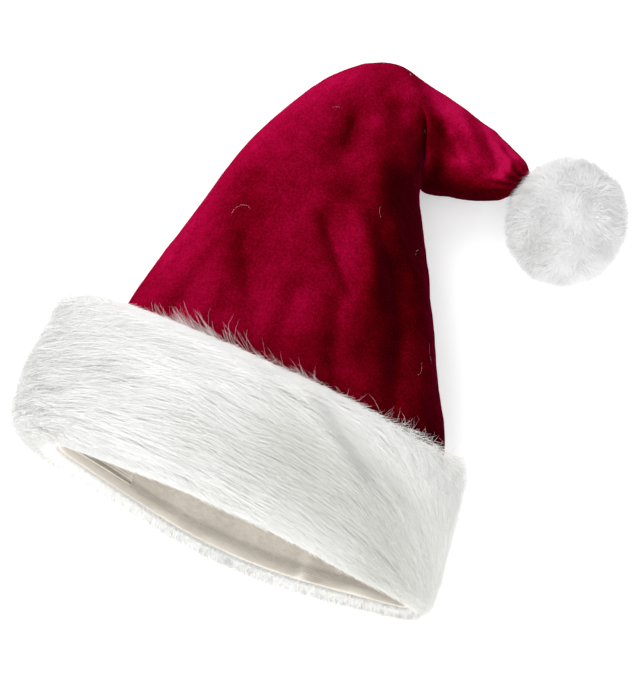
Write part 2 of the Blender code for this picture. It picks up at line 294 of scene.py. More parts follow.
# %% The crown's sections
Section = namedtuple("Section", "name left_x left_y right_x right_y base_z top_z waist ahead behind")
CROWN_SECTIONS = (
    Section("mouth", -0.1290, -0.0445, 0.1280, -0.0465, 0.0150, 0.1140, 0.50, 0.0115, 0.0055),
    Section("mid band", -0.1300, 0.0020, 0.1190, 0.0010, 0.0130, 0.1150, 0.50, 0.0040, 0.0020),
    Section("band top", -0.1290, 0.0560, 0.1080, 0.0530, 0.0070, 0.1130, 0.48, 0.0, 0.0),
    Section("low body", -0.1255, 0.0980, 0.0890, 0.0920, -0.0020, 0.1060, 0.46, 0.0, 0.0),
    Section("mid body", -0.1185, 0.1440, 0.0655, 0.1360, -0.0040, 0.0970, 0.45, 0.0, 0.0),
    Section("high body", -0.1100, 0.1930, 0.0405, 0.1840, -0.0040, 0.0880, 0.45, 0.0, 0.0),
    Section("shoulder", -0.0950, 0.2400, 0.0215, 0.2180, -0.0040, 0.0800, 0.46, 0.0, 0.0),
    Section("bend in", -0.0705, 0.2840, 0.0150, 0.2400, -0.0030, 0.0730, 0.48, 0.0, 0.0),
    Section("bend top", -0.0380, 0.3045, 0.0112, 0.2640, -0.0020, 0.0670, 0.50, 0.0, 0.0),
    Section("bend out", -0.0010, 0.3005, 0.0128, 0.2410, 0.0000, 0.0620, 0.48, 0.0, 0.0),
    Section("tip root", 0.0285, 0.2940, 0.0188, 0.2305, 0.0050, 0.0610, 0.48, 0.0, 0.0),
    Section("tip middle", 0.0530, 0.2855, 0.0490, 0.2375, 0.0120, 0.0600, 0.50, 0.0, 0.0),
    Section("tip end", 0.0755, 0.2740, 0.0685, 0.2435, 0.0210, 0.0590, 0.50, 0.0, 0.0),
    Section("neck", 0.0835, 0.2670, 0.0775, 0.2490, 0.0310, 0.0520, 0.50, 0.0, 0.0),
)
SECTION_NUMBERS = np.array([section[1:] for section in CROWN_SECTIONS])
LAST_STATION = len(CROWN_SECTIONS) - 1
TOP_ROUNDNESS = 2.15
UNDERSIDE_ROUNDNESS = 2.9

# %% The crown's folds
Fold = namedtuple("Fold", "name start_x start_y end_x end_y width height")
CROWN_FOLDS = (
    Fold("first tip fold", 0.004, 0.285, 0.034, 0.254, 0.0060, -0.0036),
    Fold("ridge between the tip folds", 0.022, 0.288, 0.048, 0.252, 0.0070, 0.0035),
    Fold("second tip fold", 0.038, 0.285, 0.065, 0.255, 0.0048, -0.0036),
    Fold("third tip fold", 0.030, 0.262, 0.050, 0.243, 0.0050, -0.0026),
    Fold("ridge by the pompom", 0.071, 0.268, 0.066, 0.242, 0.0045, 0.0028),
    Fold("gather by the pompom", 0.062, 0.272, 0.079, 0.259, 0.0028, -0.0024),
    Fold("upper gather", 0.052, 0.280, 0.078, 0.264, 0.0032, -0.0022),
    Fold("bend hollow", -0.038, 0.246, -0.037, 0.212, 0.0110, -0.0050),
    Fold("bend dent", -0.040, 0.243, -0.036, 0.222, 0.0040, -0.0022),
    Fold("pull towards the crease", -0.014, 0.262, 0.010, 0.250, 0.0060, -0.0030),
    Fold("pull below it", -0.022, 0.244, 0.010, 0.236, 0.0060, 0.0024),
    Fold("middle crease", -0.025, 0.160, 0.009, 0.121, 0.0055, -0.0048),
    Fold("ridge beside the crease", -0.010, 0.176, 0.024, 0.138, 0.0080, 0.0036),
    Fold("left hollow", -0.072, 0.138, -0.046, 0.082, 0.0150, -0.0058),
    Fold("left hollow's dent", -0.071, 0.128, -0.050, 0.094, 0.0055, -0.0022),
    Fold("slope edge", -0.007, 0.215, 0.022, 0.132, 0.0130, 0.0052),
    Fold("right ridge", 0.019, 0.177, 0.048, 0.150, 0.0065, 0.0048),
    Fold("right ridge's foot", 0.010, 0.168, 0.040, 0.128, 0.0065, -0.0034),
    Fold("right hollow", 0.034, 0.146, 0.066, 0.088, 0.0115, -0.0064),
    Fold("left hem pleat", -0.104, 0.124, -0.112, 0.070, 0.0060, -0.0046),
    Fold("second left pleat", -0.086, 0.112, -0.090, 0.062, 0.0060, -0.0030),
    Fold("middle hem pleat", -0.022, 0.106, -0.018, 0.062, 0.0070, -0.0030),
    Fold("right hem pleat", 0.006, 0.108, 0.022, 0.066, 0.0065, -0.0038),
    Fold("far right pleat", 0.052, 0.104, 0.066, 0.062, 0.0060, -0.0036),
)


def fold_height(plan, folds):
    """The sum of the folds at points seen from above. A fold's height fades with the square of the
    distance from its line, as a bell curve of its width."""
    total = np.zeros(plan.shape[:-1])
    for fold in folds:
        start = np.array([fold.start_x, fold.start_y])
        run = np.array([fold.end_x, fold.end_y]) - start
        along = np.clip(((plan - start) @ run) / (run @ run), 0, 1)
        off = np.linalg.norm(plan - start - along[..., None] * run, axis=-1)
        total += fold.height * np.exp(-((off / fold.width) ** 2))
    return total


# %% The crown's surface
def signed_power(values, exponent):
    """The power of a number's size, with the number's own sign."""
    return np.sign(values) * np.abs(values) ** exponent


def crown_point(station, angle):
    """The velvet's outside. An oval's point is its cosine and sine, each raised to a power that squares
    the oval off a little. Angle 0 is the section's right end and a quarter turn its top. The mouth's
    slant moves its underside ahead and its top back, and the floor stops what would reach below it."""
    rows = smooth_between(SECTION_NUMBERS, station)
    left, right = rows[..., 0:2], rows[..., 2:4]
    base, top, waist, ahead, behind = (rows[..., column] for column in range(4, 9))
    across, up = np.cos(angle), np.sin(angle)
    power = np.where(up >= 0, 2 / TOP_ROUNDNESS, 2 / UNDERSIDE_ROUNDNESS)
    across, up = signed_power(across, power), signed_power(up, power)
    waist_z = base + waist * (top - base)
    plan = (left + right) / 2 + across[..., None] * (right - left) / 2
    height = waist_z + up * np.where(up >= 0, top - waist_z, waist_z - base)
    height = height + fold_height(plan, CROWN_FOLDS) * np.clip(up, 0, 1)
    slant = np.where(up >= 0, behind, -ahead) * (1 - across**2) ** 2
    return np.stack([plan[..., 0], plan[..., 1] + slant, np.maximum(height, 0.0)], axis=-1)


def crown_normal(station, angle):
    """The direction straight out of the velvet: the cross product of a short step along it and a short
    step around it."""
    step = 0.01
    along = crown_point(station + step, angle) - crown_point(station - step, angle)
    around = crown_point(station, angle + step) - crown_point(station, angle - step)
    return unit(np.cross(along, around))


# %% Wrinkles that are too small for the table
PLEAT_COUNT = 13
PLEAT_DEPTH = 0.0016
NECK_STATION = 11.2


def crown_wrinkles(points, station, angle):
    """How far the velvet stands out from its smooth surface. Long soft waves run along the crown, small
    ones lie everywhere, and near the neck the gathers are a wave round the section. The part that lies
    on the floor, and the part under the fur band, stay smooth."""
    waves = 0.0010 * soft_noise(points, (0.017, 0.060, 0.030), 3)
    small = 0.00045 * soft_noise(points, (0.007, 0.011, 0.009), 5)
    hem = np.clip((0.115 - points[..., 1]) / 0.06, 0, 1) * (station < 5)
    gathers_at_hem = 0.0011 * hem * soft_noise(points, (0.009, 0.080, 0.030), 7)
    near_neck = np.clip((station - NECK_STATION) / (LAST_STATION - NECK_STATION), 0, 1)
    pleats = np.cos(PLEAT_COUNT * angle + 1.5 * soft_noise(points, (0.012, 0.012, 0.012), 9))
    gathers = PLEAT_DEPTH * near_neck * (pleats - 0.6)
    lifted = np.clip(points[..., 2] / 0.010, 0, 1)
    under_band = np.clip((points[..., 1] - 0.030) / 0.020, 0, 1) ** 2
    free = np.maximum(under_band, station > 3)
    return (waves + small + gathers_at_hem) * lifted * free + gathers * lifted


# %% Velvet
def add_node(material, kind, **values):
    """A node with named settings, and inputs by their names."""
    node = material.node_tree.nodes.new(kind)
    for name, value in values.items():
        if name in node.inputs:
            node.inputs[name].default_value = value
        else:
            setattr(node, name, value)
    return node


def join(material, source, target):
    """A link from one node's output to another's input."""
    material.node_tree.links.new(source, target)


def noise_node(material, coordinates, size, detail=2.0, roughness=0.5):
    """A noise texture whose features measure about this many metres."""
    node = add_node(material, "ShaderNodeTexNoise", Scale=1 / size, Detail=detail, Roughness=roughness)
    join(material, coordinates, node.inputs["Vector"])
    return node


def ramp_node(material, value, stops):
    """A colour ramp through (place, colour) stops."""
    node = add_node(material, "ShaderNodeValToRGB")
    marks = node.color_ramp.elements
    while len(marks) < len(stops):
        marks.new(0.5)
    for mark, (place, colour) in zip(marks, stops):
        mark.position = place
        mark.color = (*colour, 1)
    join(material, value, node.inputs["Fac"])
    return node


def math_node(material, operation, first, second):
    """One step of arithmetic on two sockets or numbers."""
    node = add_node(material, "ShaderNodeMath", operation=operation)
    for socket, value in zip(node.inputs, (first, second)):
        if isinstance(value, (int, float)):
            socket.default_value = value
        else:
            join(material, value, socket)
    return node.outputs[0]


def bump_node(material, height, distance, below=None):
    """Bump of a height in metres, on top of another bump's normal."""
    node = add_node(material, "ShaderNodeBump", Distance=distance, Strength=1.0)
    join(material, height, node.inputs["Height"])
    if below is not None:
        join(material, below, node.inputs["Normal"])
    return node.outputs["Normal"]


def make_velvet():
    """Crimson velvet. Its colour is painted lighter on the side that faces the key light and nearly black on
    the side away from it: the attribute read below holds that painted light and shade, noise adds patches
    and fine grain, and a ramp turns the sum into a red. A weak sheen brightens the edges to pink."""
    material, shader = principled("crimson_velvet", (0.20, 0.002, 0.015), 0.75)
    shader.inputs["Sheen Weight"].default_value = 0.17
    shader.inputs["Sheen Roughness"].default_value = 0.32
    shader.inputs["Sheen Tint"].default_value = (1.0, 0.01, 0.12, 1)
    shader.inputs["Specular IOR Level"].default_value = 0.0
    place = add_node(material, "ShaderNodeTexCoord").outputs["Object"]
    # Painted light and shade: the attribute lightens the side that faces the key light and darkens the
    # other.
    nap_and_painted_light = add_node(material, "ShaderNodeAttribute", attribute_name="nap_and_painted_light").outputs["Fac"]
    noises = ((0.045, 2.0, 0.14), (0.009, 5.0, 0.30), (0.0015, 3.0, 0.72))
    for size, detail, strength in noises:
        noise = noise_node(material, place, size, detail, roughness=0.6).outputs["Fac"]
        centred = math_node(material, "SUBTRACT", noise, 0.5)
        nap_and_painted_light = math_node(material, "ADD", nap_and_painted_light, math_node(material, "MULTIPLY", centred, strength))
    colour = ramp_node(
        material,
        nap_and_painted_light,
        (
            (0.00, (0.026, 0.0001, 0.0010)),
            (0.30, (0.070, 0.0002, 0.0020)),
            (0.55, (0.148, 0.0004, 0.0070)),
            (0.80, (0.275, 0.0012, 0.0260)),
            (1.00, (0.390, 0.0040, 0.0520)),
        ),
    )
    join(material, colour.outputs["Color"], shader.inputs["Base Color"])
    crushed = noise_node(material, place, 0.008, 3.0, roughness=0.6).outputs["Fac"]
    grain = noise_node(material, place, 0.0010, 2.0, roughness=0.6).outputs["Fac"]
    normal = bump_node(material, grain, 0.0004, below=bump_node(material, crushed, 0.0011))
    join(material, normal, shader.inputs["Normal"])
    return material


# %% Painted light and shade on the velvet
# The key light's side: the velvet is painted lighter where it faces this way, painted light and shade.
PAINTED_LIGHT_DIRECTION = np.array([-0.62, 0.30, 0.72])
# The painted tone's middle, how much facing the light changes it, and the facing that leaves it unchanged.
VELVET_TONE_MEAN, PAINTED_LIGHT_CONTRAST, PAINTED_LIGHT_FACING = 0.55, 0.60, 0.70
# Streaks and patches added to the velvet's painted tone. The sheen, glow, light and ridge rows are painted
# highlights; the dark zone at the right, its upper end, the dent below the bend and the pocket are painted
# shade; the other rows make fields and patches lighter or darker.
VELVET_PATCHES_AND_PAINTED_LIGHT = (
    Fold("dark zone at the right", 0.014, 0.205, 0.042, 0.125, 0.0240, -0.24),
    Fold("dark zone's upper end", 0.003, 0.216, 0.010, 0.200, 0.0100, -0.14),
    Fold("bright strip beside it", -0.006, 0.176, 0.000, 0.118, 0.0090, 0.10),
    Fold("patches below the bend", -0.030, 0.188, -0.006, 0.180, 0.0080, -0.14),
    Fold("dent below the bend", -0.038, 0.238, -0.034, 0.222, 0.0060, -0.22),
    Fold("dull field at the left", -0.088, 0.170, -0.066, 0.118, 0.0200, -0.15),
    Fold("sheen along the left", -0.120, 0.100, -0.098, 0.236, 0.0150, 0.16),
    Fold("sheen at the top", -0.086, 0.252, -0.060, 0.276, 0.0120, 0.14),
    Fold("light before the crease", -0.014, 0.280, 0.004, 0.232, 0.0110, 0.22),
    Fold("ridge by the bend", -0.006, 0.292, 0.022, 0.264, 0.0050, 0.14),
    Fold("pocket", 0.012, 0.268, 0.024, 0.240, 0.0065, -0.40),
    Fold("sheen along the tip", 0.006, 0.296, 0.082, 0.270, 0.0170, 0.42),
    Fold("glow on the tip's side", 0.034, 0.248, 0.074, 0.250, 0.0140, 0.28),
    Fold("low dark field", -0.002, 0.072, 0.034, 0.088, 0.0140, -0.12),
    Fold("low bright field", -0.020, 0.096, -0.008, 0.082, 0.0090, 0.09),
    Fold("dark hem at the right", 0.052, 0.086, 0.088, 0.070, 0.0180, -0.12),
)


def painted_light_on_velvet(points, normals):
    """How bright the velvet's colour is painted, near 0.5: lighter where it faces the key light's side, as
    the cosine between the two, which is painted light and shade. The listed streaks and patches are added,
    some of them painted sheen and shade, and the velvet is darker by the band, a painted shadow."""
    # Painted light and shade: the cosine between the velvet's normal and the key light's side.
    facing = normals @ unit(PAINTED_LIGHT_DIRECTION)
    # Painted shadow: the velvet is painted darker in a strip just above the fur band's edge.
    painted_band_shadow = -0.09 * np.exp(-(((points[..., 1] - 0.052) / 0.008) ** 2))
    streaks = fold_height(points[..., :2], VELVET_PATCHES_AND_PAINTED_LIGHT)
    return VELVET_TONE_MEAN + PAINTED_LIGHT_CONTRAST * (facing - PAINTED_LIGHT_FACING) + streaks + painted_band_shadow


# %% Ease the bend
def relax(grid, start, end, width, rounds):
    """Each point near a line moves halfway to the mean of its four neighbours, again and again, which
    irons out a crease that is too hard. The pull fades with the distance from the line, and near the
    floor, where the cloth lies flat."""
    line = (Fold("eased", *start, *end, width, 1.0),)
    for _ in range(rounds):
        before, after = np.roll(grid, 1, axis=1)[1:-1], np.roll(grid, -1, axis=1)[1:-1]
        mean = (grid[:-2] + grid[2:] + before + after) / 4
        weight = 0.5 * np.clip(fold_height(grid[1:-1, :, :2], line), 0, 1)[..., None]
        above = np.clip((grid[1:-1, :, 2:] - 0.020) / 0.015, 0, 1)
        grid[1:-1] += weight * above * (mean - grid[1:-1])
    return grid


# %% Sew the crown
CROWN_RINGS, CROWN_COLUMNS = 141, 168
VELVET_THICKNESS = 0.0018


def make_crown():
    """The smooth surface on a grid, moved along its normals by the wrinkles, and closed at the neck by
    a fan round one point. In the bend the underside turns over on itself, and lies a wall higher there."""
    station, angle = np.meshgrid(
        np.linspace(0, LAST_STATION, CROWN_RINGS),
        np.arange(CROWN_COLUMNS) * 2 * math.pi / CROWN_COLUMNS,
        indexing="ij",
    )
    smooth = crown_point(station, angle)
    smooth = relax(smooth, (-0.006, 0.300), (0.004, 0.276), 0.011, 60)
    grid = smooth + grid_normals(smooth) * crown_wrinkles(smooth, station, angle)[..., None]
    grid[..., 2] = np.maximum(grid[..., 2], 0.0)
    turned_over = (grid[..., 2] < VELVET_THICKNESS) & (grid_normals(grid)[..., 2] > -0.7)
    grid[turned_over, 2] = VELVET_THICKNESS
    points, triangles = capped_grid(grid, grid[-1].mean(axis=0))
    piece = link_mesh("velvet_crown", points, triangles, make_velvet())
    # The velvet's painted light and shade, one number for each point.
    nap_and_painted_light = painted_light_on_velvet(grid, grid_normals(grid))
    give_numbers(piece, "nap_and_painted_light", np.append(nap_and_painted_light, nap_and_painted_light[-1].mean()))
    solidify(piece, VELVET_THICKNESS)
    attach(piece, "root")
    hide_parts("crown")
    area = sum(face.area for face in piece.data.polygons)
    print("the velvet measures", round(area, 3), "square metres")


make_crown()

# %% [markdown]
# ## The cotton lining and its elastic
# Inside the crown hangs a cream cotton bag, turned under at the mouth with a stitched hem. It follows
# the velvet's own surface, a wall further in. A strip of elastic is sewn over it at the left: rubber
# cords in a cotton casing, which gathers into fine ribs across them.

# %% Cotton
LINING_GAP = 0.0026
LINING_STATIONS = 4.0
LINING_THICKNESS = 0.0008
THREAD_SCALE = 260.0


def make_cotton(name, colour, dark):
    """Plain-woven cotton: two waves of threads at right angles, a little uneven, over the UV map. The colour
    comes from the sum of thick threads, soft clouds, the weave and the piece's own attribute of painted
    highlights and painted shade."""
    material, shader = principled(name, colour, 0.88)
    shader.inputs["Sheen Weight"].default_value = 0.15
    shader.inputs["Specular IOR Level"].default_value = 0.2
    cloth = add_node(material, "ShaderNodeUVMap", uv_map="cloth").outputs["UV"]
    place = add_node(material, "ShaderNodeTexCoord").outputs["Object"]
    threads = []
    for direction in ("X", "Y"):
        wave = add_node(material, "ShaderNodeTexWave", bands_direction=direction)
        wave.inputs["Scale"].default_value = THREAD_SCALE
        wave.inputs["Distortion"].default_value = 0.6
        join(material, cloth, wave.inputs["Vector"])
        threads.append(wave.outputs["Fac"])
    weave = math_node(material, "MULTIPLY", threads[0], threads[1])
    slubs = noise_node(material, place, 0.004, detail=3.0).outputs["Fac"]
    clouds = noise_node(material, place, 0.030, detail=2.0).outputs["Fac"]
    # The piece's attribute: painted highlights and painted shade, added to the cloth's own tone.
    tone_and_painted_light = add_node(material, "ShaderNodeAttribute", attribute_name="tone_and_painted_light").outputs["Fac"]
    for pattern, share in ((slubs, 0.4), (clouds, 0.6), (weave, 0.05)):
        tone_and_painted_light = math_node(material, "ADD", tone_and_painted_light, math_node(material, "MULTIPLY", pattern, share))
    mix = ramp_node(material, tone_and_painted_light, ((0.35, dark), (0.70, colour)))
    join(material, mix.outputs["Color"], shader.inputs["Base Color"])
    cloth_bump = bump_node(material, slubs, 0.0006)
    join(material, bump_node(material, weave, 0.00012, below=cloth_bump), shader.inputs["Normal"])
    return material


# %% Sew the lining
LINING_RINGS, LINING_COLUMNS, LINING_END_RINGS = 60, 140, 12
LINING_END_REACH = 0.020
HEM_DEPTH = 0.0065
CLOTH_PER_RADIAN, CLOTH_PER_RING = 0.11, 0.0033
LINING_FOLDS = (
    Fold("seam", 0.0522, -0.058, 0.0470, -0.028, 0.0024, 0.0016),
    Fold("slack beside the seam", 0.062, -0.060, 0.050, 0.000, 0.0050, -0.0007),
    Fold("soft fold in the middle", -0.010, -0.060, -0.004, 0.020, 0.0090, 0.0012),
    Fold("soft fold at the left", -0.052, -0.058, -0.046, 0.020, 0.0070, 0.0010),
    Fold("soft fold at the right", 0.090, -0.055, 0.084, 0.010, 0.0080, 0.0010),
)
# Painted light on the cotton: a painted highlight along the seam's ridge, and painted shade beside it.
LINING_PAINTED_LIGHT = (
    Fold("light seam", 0.0522, -0.058, 0.0470, -0.028, 0.0026, 0.28),
    Fold("shade beside the seam", 0.0640, -0.056, 0.0560, -0.030, 0.0050, -0.16),
)


def lining_surface(station, angle):
    """The bag's outer side and the way out from it: the velvet's surface moved in, by more where the
    cloth is slack. The hem is a low round roll with a stitched groove at its end."""
    velvet = crown_point(station, angle)
    out = crown_normal(station, angle)
    depth = np.linalg.norm(velvet - crown_point(np.zeros_like(station), angle), axis=2)
    groove = -0.0007 * np.exp(-(((depth - HEM_DEPTH) / 0.0009) ** 2))
    hem = 0.0016 * np.clip(1 - ((depth / HEM_DEPTH - 0.5) / 0.5) ** 2, 0, 1)
    uneven = 1 + soft_noise(velvet, (0.020, 0.05, 0.020), 21)
    slack = 0.0013 * np.clip((depth - 0.012) / 0.03, 0, 1) * uneven
    folds = fold_height(velvet[..., :2], LINING_FOLDS) * np.clip(-2 * np.sin(angle), 0, 1)
    inward = LINING_GAP + hem + groove + slack + folds
    return velvet - out * inward[..., None], out


def turned_edge(angle):
    """Three rings that carry the cotton round the velvet's cut edge, from its outside to the bag."""
    velvet = crown_point(np.zeros_like(angle), angle)
    out = crown_normal(np.zeros_like(angle), angle)
    steps = ((0.0002, 0.0006), (-0.0012, 0.0014), (-0.0026, 0.0010))
    return np.stack([velvet + out * shift + np.array([0, -ahead, 0]) for shift, ahead in steps])


def make_lining():
    """The edge, the bag and its rounded end. The end's rings shrink as a cosine while they move on as a
    sine, which makes a quarter of a ball. Near the hem the cotton is painted darker, a painted shade that
    fades with the square of the station."""
    angles = np.arange(LINING_COLUMNS) * 2 * math.pi / LINING_COLUMNS
    station, angle = np.meshgrid(np.linspace(0, LINING_STATIONS, LINING_RINGS), angles, indexing="ij")
    bag, _ = lining_surface(station, angle)
    turn = np.linspace(0, math.pi / 2, LINING_END_RINGS + 1)[1:-1, None, None]
    middle = bag[-1].mean(axis=0)
    forward = unit(middle - bag[-2].mean(axis=0))
    end = middle + (bag[-1] - middle) * np.cos(turn) + forward * LINING_END_REACH * np.sin(turn)
    grid = np.concatenate([turned_edge(angles), bag, end])
    grid[..., 2] = np.maximum(grid[..., 2], 0.0004)
    rings = len(grid)
    points, triangles = capped_grid(grid, middle + forward * LINING_END_REACH)
    piece = link_mesh("cotton_lining", points, triangles, cotton)
    around = np.broadcast_to(angles * CLOTH_PER_RADIAN, (rings, LINING_COLUMNS))
    deep = np.broadcast_to(np.arange(rings)[:, None] * CLOTH_PER_RING, (rings, LINING_COLUMNS))
    give_uv(piece, np.append(around, 0), np.append(deep, rings * CLOTH_PER_RING))
    # Painted highlight and shade at the seam, and painted shade along the hem.
    painted_light_tones = fold_height(grid[..., :2], LINING_PAINTED_LIGHT) * (np.sin(angles) < 0)
    painted_light_tones[3 : 3 + LINING_RINGS] -= 0.30 * np.exp(-((station / 0.16) ** 2))
    give_numbers(piece, "tone_and_painted_light", np.append(painted_light_tones, 0))
    solidify(piece, LINING_THICKNESS)
    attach(piece, "root")
    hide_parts("lining")
    print("the lining has", len(triangles), "triangles before its wall")


cotton = make_cotton("cream_cotton", (0.74, 0.69, 0.62), (0.58, 0.54, 0.475))
make_lining()

# %% The elastic
ELASTIC_START, ELASTIC_END = math.radians(172), math.radians(240)
ELASTIC_FROM, ELASTIC_SLANT, ELASTIC_WIDTH = 0.03, 0.05, 0.50
ELASTIC_CORDS = 14
ELASTIC_COLUMNS, ELASTIC_ROWS = 60, 71
ELASTIC_THICKNESS = 0.0012
CORD_HEIGHT, GATHER_HEIGHT, SEAM_HEIGHT = 0.0005, 0.00025, 0.0007
SEAM_PRESS = 1000


def make_elastic():
    """A strip on the bag's inner side. Its height is a row of rounded cords, the size of a sine, gathered
    by fine waves across them. At each end is a sewn ridge, a bell curve that presses the cords flat."""
    across = np.linspace(0, 1, ELASTIC_ROWS)[:, None]
    along = np.linspace(0, 1, ELASTIC_COLUMNS)[None]
    station = ELASTIC_FROM + ELASTIC_SLANT * along + ELASTIC_WIDTH * across
    angle = ELASTIC_START + (ELASTIC_END - ELASTIC_START) * along + 0 * across
    bag, out = lining_surface(station, angle)
    round_cord = np.abs(np.sin(math.pi * ELASTIC_CORDS * across)) ** 0.7
    cords = CORD_HEIGHT * round_cord
    gathers = GATHER_HEIGHT * soft_noise(bag, (0.0020, 0.012, 0.0020), 23)
    far_seam, near_seam = (np.exp(-(((along - end) / 0.018) ** 2)) for end in (0.97, 0.03))
    ends = SEAM_HEIGHT * (far_seam + near_seam)
    height = LINING_THICKNESS + ELASTIC_THICKNESS + cords * (1 - SEAM_PRESS * ends) + gathers + ends
    grid = bag - out * height[..., None]
    faces = grid_faces(ELASTIC_ROWS, ELASTIC_COLUMNS, close_columns=False)[:, ::-1]
    piece = link_mesh("elastic_casing", grid.reshape(-1, 3), faces, cotton)
    give_uv(piece, 0.10 * along + 0 * across, 0.026 * across + 0 * along)
    # Painted shade: the grooves between the cords are painted darker, and the whole strip a little lighter.
    give_numbers(piece, "tone_and_painted_light", 0.10 - 0.20 * (1 - round_cord) + 0 * along)
    solidify(piece, ELASTIC_THICKNESS)
    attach(piece, "root")
    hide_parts("elastic_band")
    area = sum(face.area for face in piece.data.polygons)
    print("the elastic measures", round(area, 5), "square metres")


make_elastic()

# %% [markdown]
# ## Hairs
# A hair is a thin blade with a low ridge that tapers to a point at both ends: rings of three points
# along its path, between its root and its tip. A blade turns its broad side out, so it is lit as the fur
# under it is, where a round hair would show a bright and a dark side. All hairs of a piece are made at
# once, as arrays of (hair, step along it, coordinate). Blender's own hair curves would be lighter, but
# closed meshes also show in the exported model.


# %% Build hairs
BLADE_SIDEWAYS = np.array([0.0, -0.5, 0.5])
BLADE_UPWARDS = np.array([0.08, -0.05, -0.05])


def make_hairs(name, paths, widths, facing, shades, material):
    """Joined hairs. paths has the points of each hair, from its root to its tip, and widths and shades
    a number for each of those points. The root and the tip are single points. Each point between them
    carries a ring of three: one to each side, and one a little towards the facing direction."""
    hairs, steps = paths.shape[:2]
    rings = steps - 2
    run = unit(np.gradient(paths, axis=1))
    side = unit(np.cross(run, facing[:, None]))
    up = np.cross(side, run)
    ring = BLADE_SIDEWAYS[:, None] * side[:, 1:-1, None]
    ring = ring + BLADE_UPWARDS[:, None] * up[:, 1:-1, None]
    ring = paths[:, 1:-1, None] + ring * widths[:, 1:-1, None, None]
    points = np.concatenate([paths[:, :1], ring.reshape(hairs, -1, 3), paths[:, -1:]], axis=1)
    tip = 3 * rings + 1
    faces = []
    for k in range(3):
        a, b = 1 + k, 1 + (k + 1) % 3
        faces.append((0, a, b))
        for step in range(0, 3 * (rings - 1), 3):
            faces += [(a + step, a + step + 3, b + step + 3), (a + step, b + step + 3, b + step)]
        faces.append((a + tip - 4, tip, b + tip - 4))
    faces = np.array(faces)[None] + (np.arange(hairs) * (tip + 1))[:, None, None]
    piece = link_mesh(name, points.reshape(-1, 3), faces.reshape(-1, 3), material, smooth=False)
    middle = np.repeat(shades[:, 1:-1], 3, axis=1)
    give_numbers(piece, "painted_shade_and_tone", np.concatenate([shades[:, :1], middle, shades[:, -1:]], axis=1))
    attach(piece, "root")
    print(name, "has", hairs, "hairs and", faces.shape[0] * faces.shape[1], "triangles")
    return piece


def keep_above_floor(paths, highest, rng):
    """Each hair lies no lower than a small random height of its own, so pressed hairs
    don't all lie in one plane."""
    lowest = rng.uniform(0.0002, highest, len(paths))
    paths[..., 2] = np.maximum(paths[..., 2], lowest[:, None])


# %% White fur
def make_fur_material(name, dark, middle, light, glow):
    """White fur: painted darker and a little green-grey at the roots, painted shade deep in the pile, and
    bright towards the tips. Half of the light passes through each hair. Deep pile also passes light on from
    hair to hair many times, more often than a render follows it, and a faint glow stands for that light."""
    material, shader = principled(name, light, 0.6)
    shader.inputs["Specular IOR Level"].default_value = 0.10
    shader.inputs["Sheen Weight"].default_value = 0.20
    # The hairs' attribute: painted shade towards the roots and in shaded regions, with the hairs' own tone.
    painted_shade_and_tone = add_node(material, "ShaderNodeAttribute", attribute_name="painted_shade_and_tone").outputs["Fac"]
    colour = ramp_node(material, painted_shade_and_tone, ((0.0, dark), (0.45, middle), (1.0, light))).outputs["Color"]
    join(material, colour, shader.inputs["Base Color"])
    join(material, colour, shader.inputs["Emission Color"])
    shader.inputs["Emission Strength"].default_value = glow
    through = add_node(material, "ShaderNodeBsdfTranslucent")
    join(material, colour, through.inputs["Color"])
    mix = add_node(material, "ShaderNodeMixShader", Fac=0.5)
    output = material.node_tree.nodes["Material Output"]
    join(material, shader.outputs[0], mix.inputs[1])
    join(material, through.outputs[0], mix.inputs[2])
    join(material, mix.outputs[0], output.inputs["Surface"])
    return material


Fur = namedtuple("Fur", "name dark middle light glow")
# The fringe's stronger glow and lighter ramp are painted light, which lifts it out of the band's shade above
# it.
FURS = (
    Fur("white_fur", (0.58, 0.582, 0.54), (0.84, 0.84, 0.815), (0.97, 0.97, 0.97), 0.07),
    Fur("white_fringe", (0.70, 0.705, 0.67), (0.90, 0.90, 0.885), (0.97, 0.97, 0.965), 0.15),
    Fur("white_plush", (0.84, 0.84, 0.84), (0.90, 0.90, 0.90), (0.945, 0.945, 0.945), 0.04),
)
fur_white, fringe_white, plush_white = (make_fur_material(*fur) for fur in FURS)
print("furs:", [fur.name for fur in FURS])

# %% [markdown]
# ## The fur band
# The real band is a strip of long faux fur, sewn round the mouth and turned in over its edge. Its pile
# lies round the hat like combed hair. Here a pelt, the strip's own body, is a closed ring, and the hairs
# grow out of it. Both come from one mapping: a place round the mouth, a place across the strip and a
# height between the pelt and the fur's outside give a point in space. A hair is a path through these
# three numbers, so it follows the band round its ends and never leaves it.

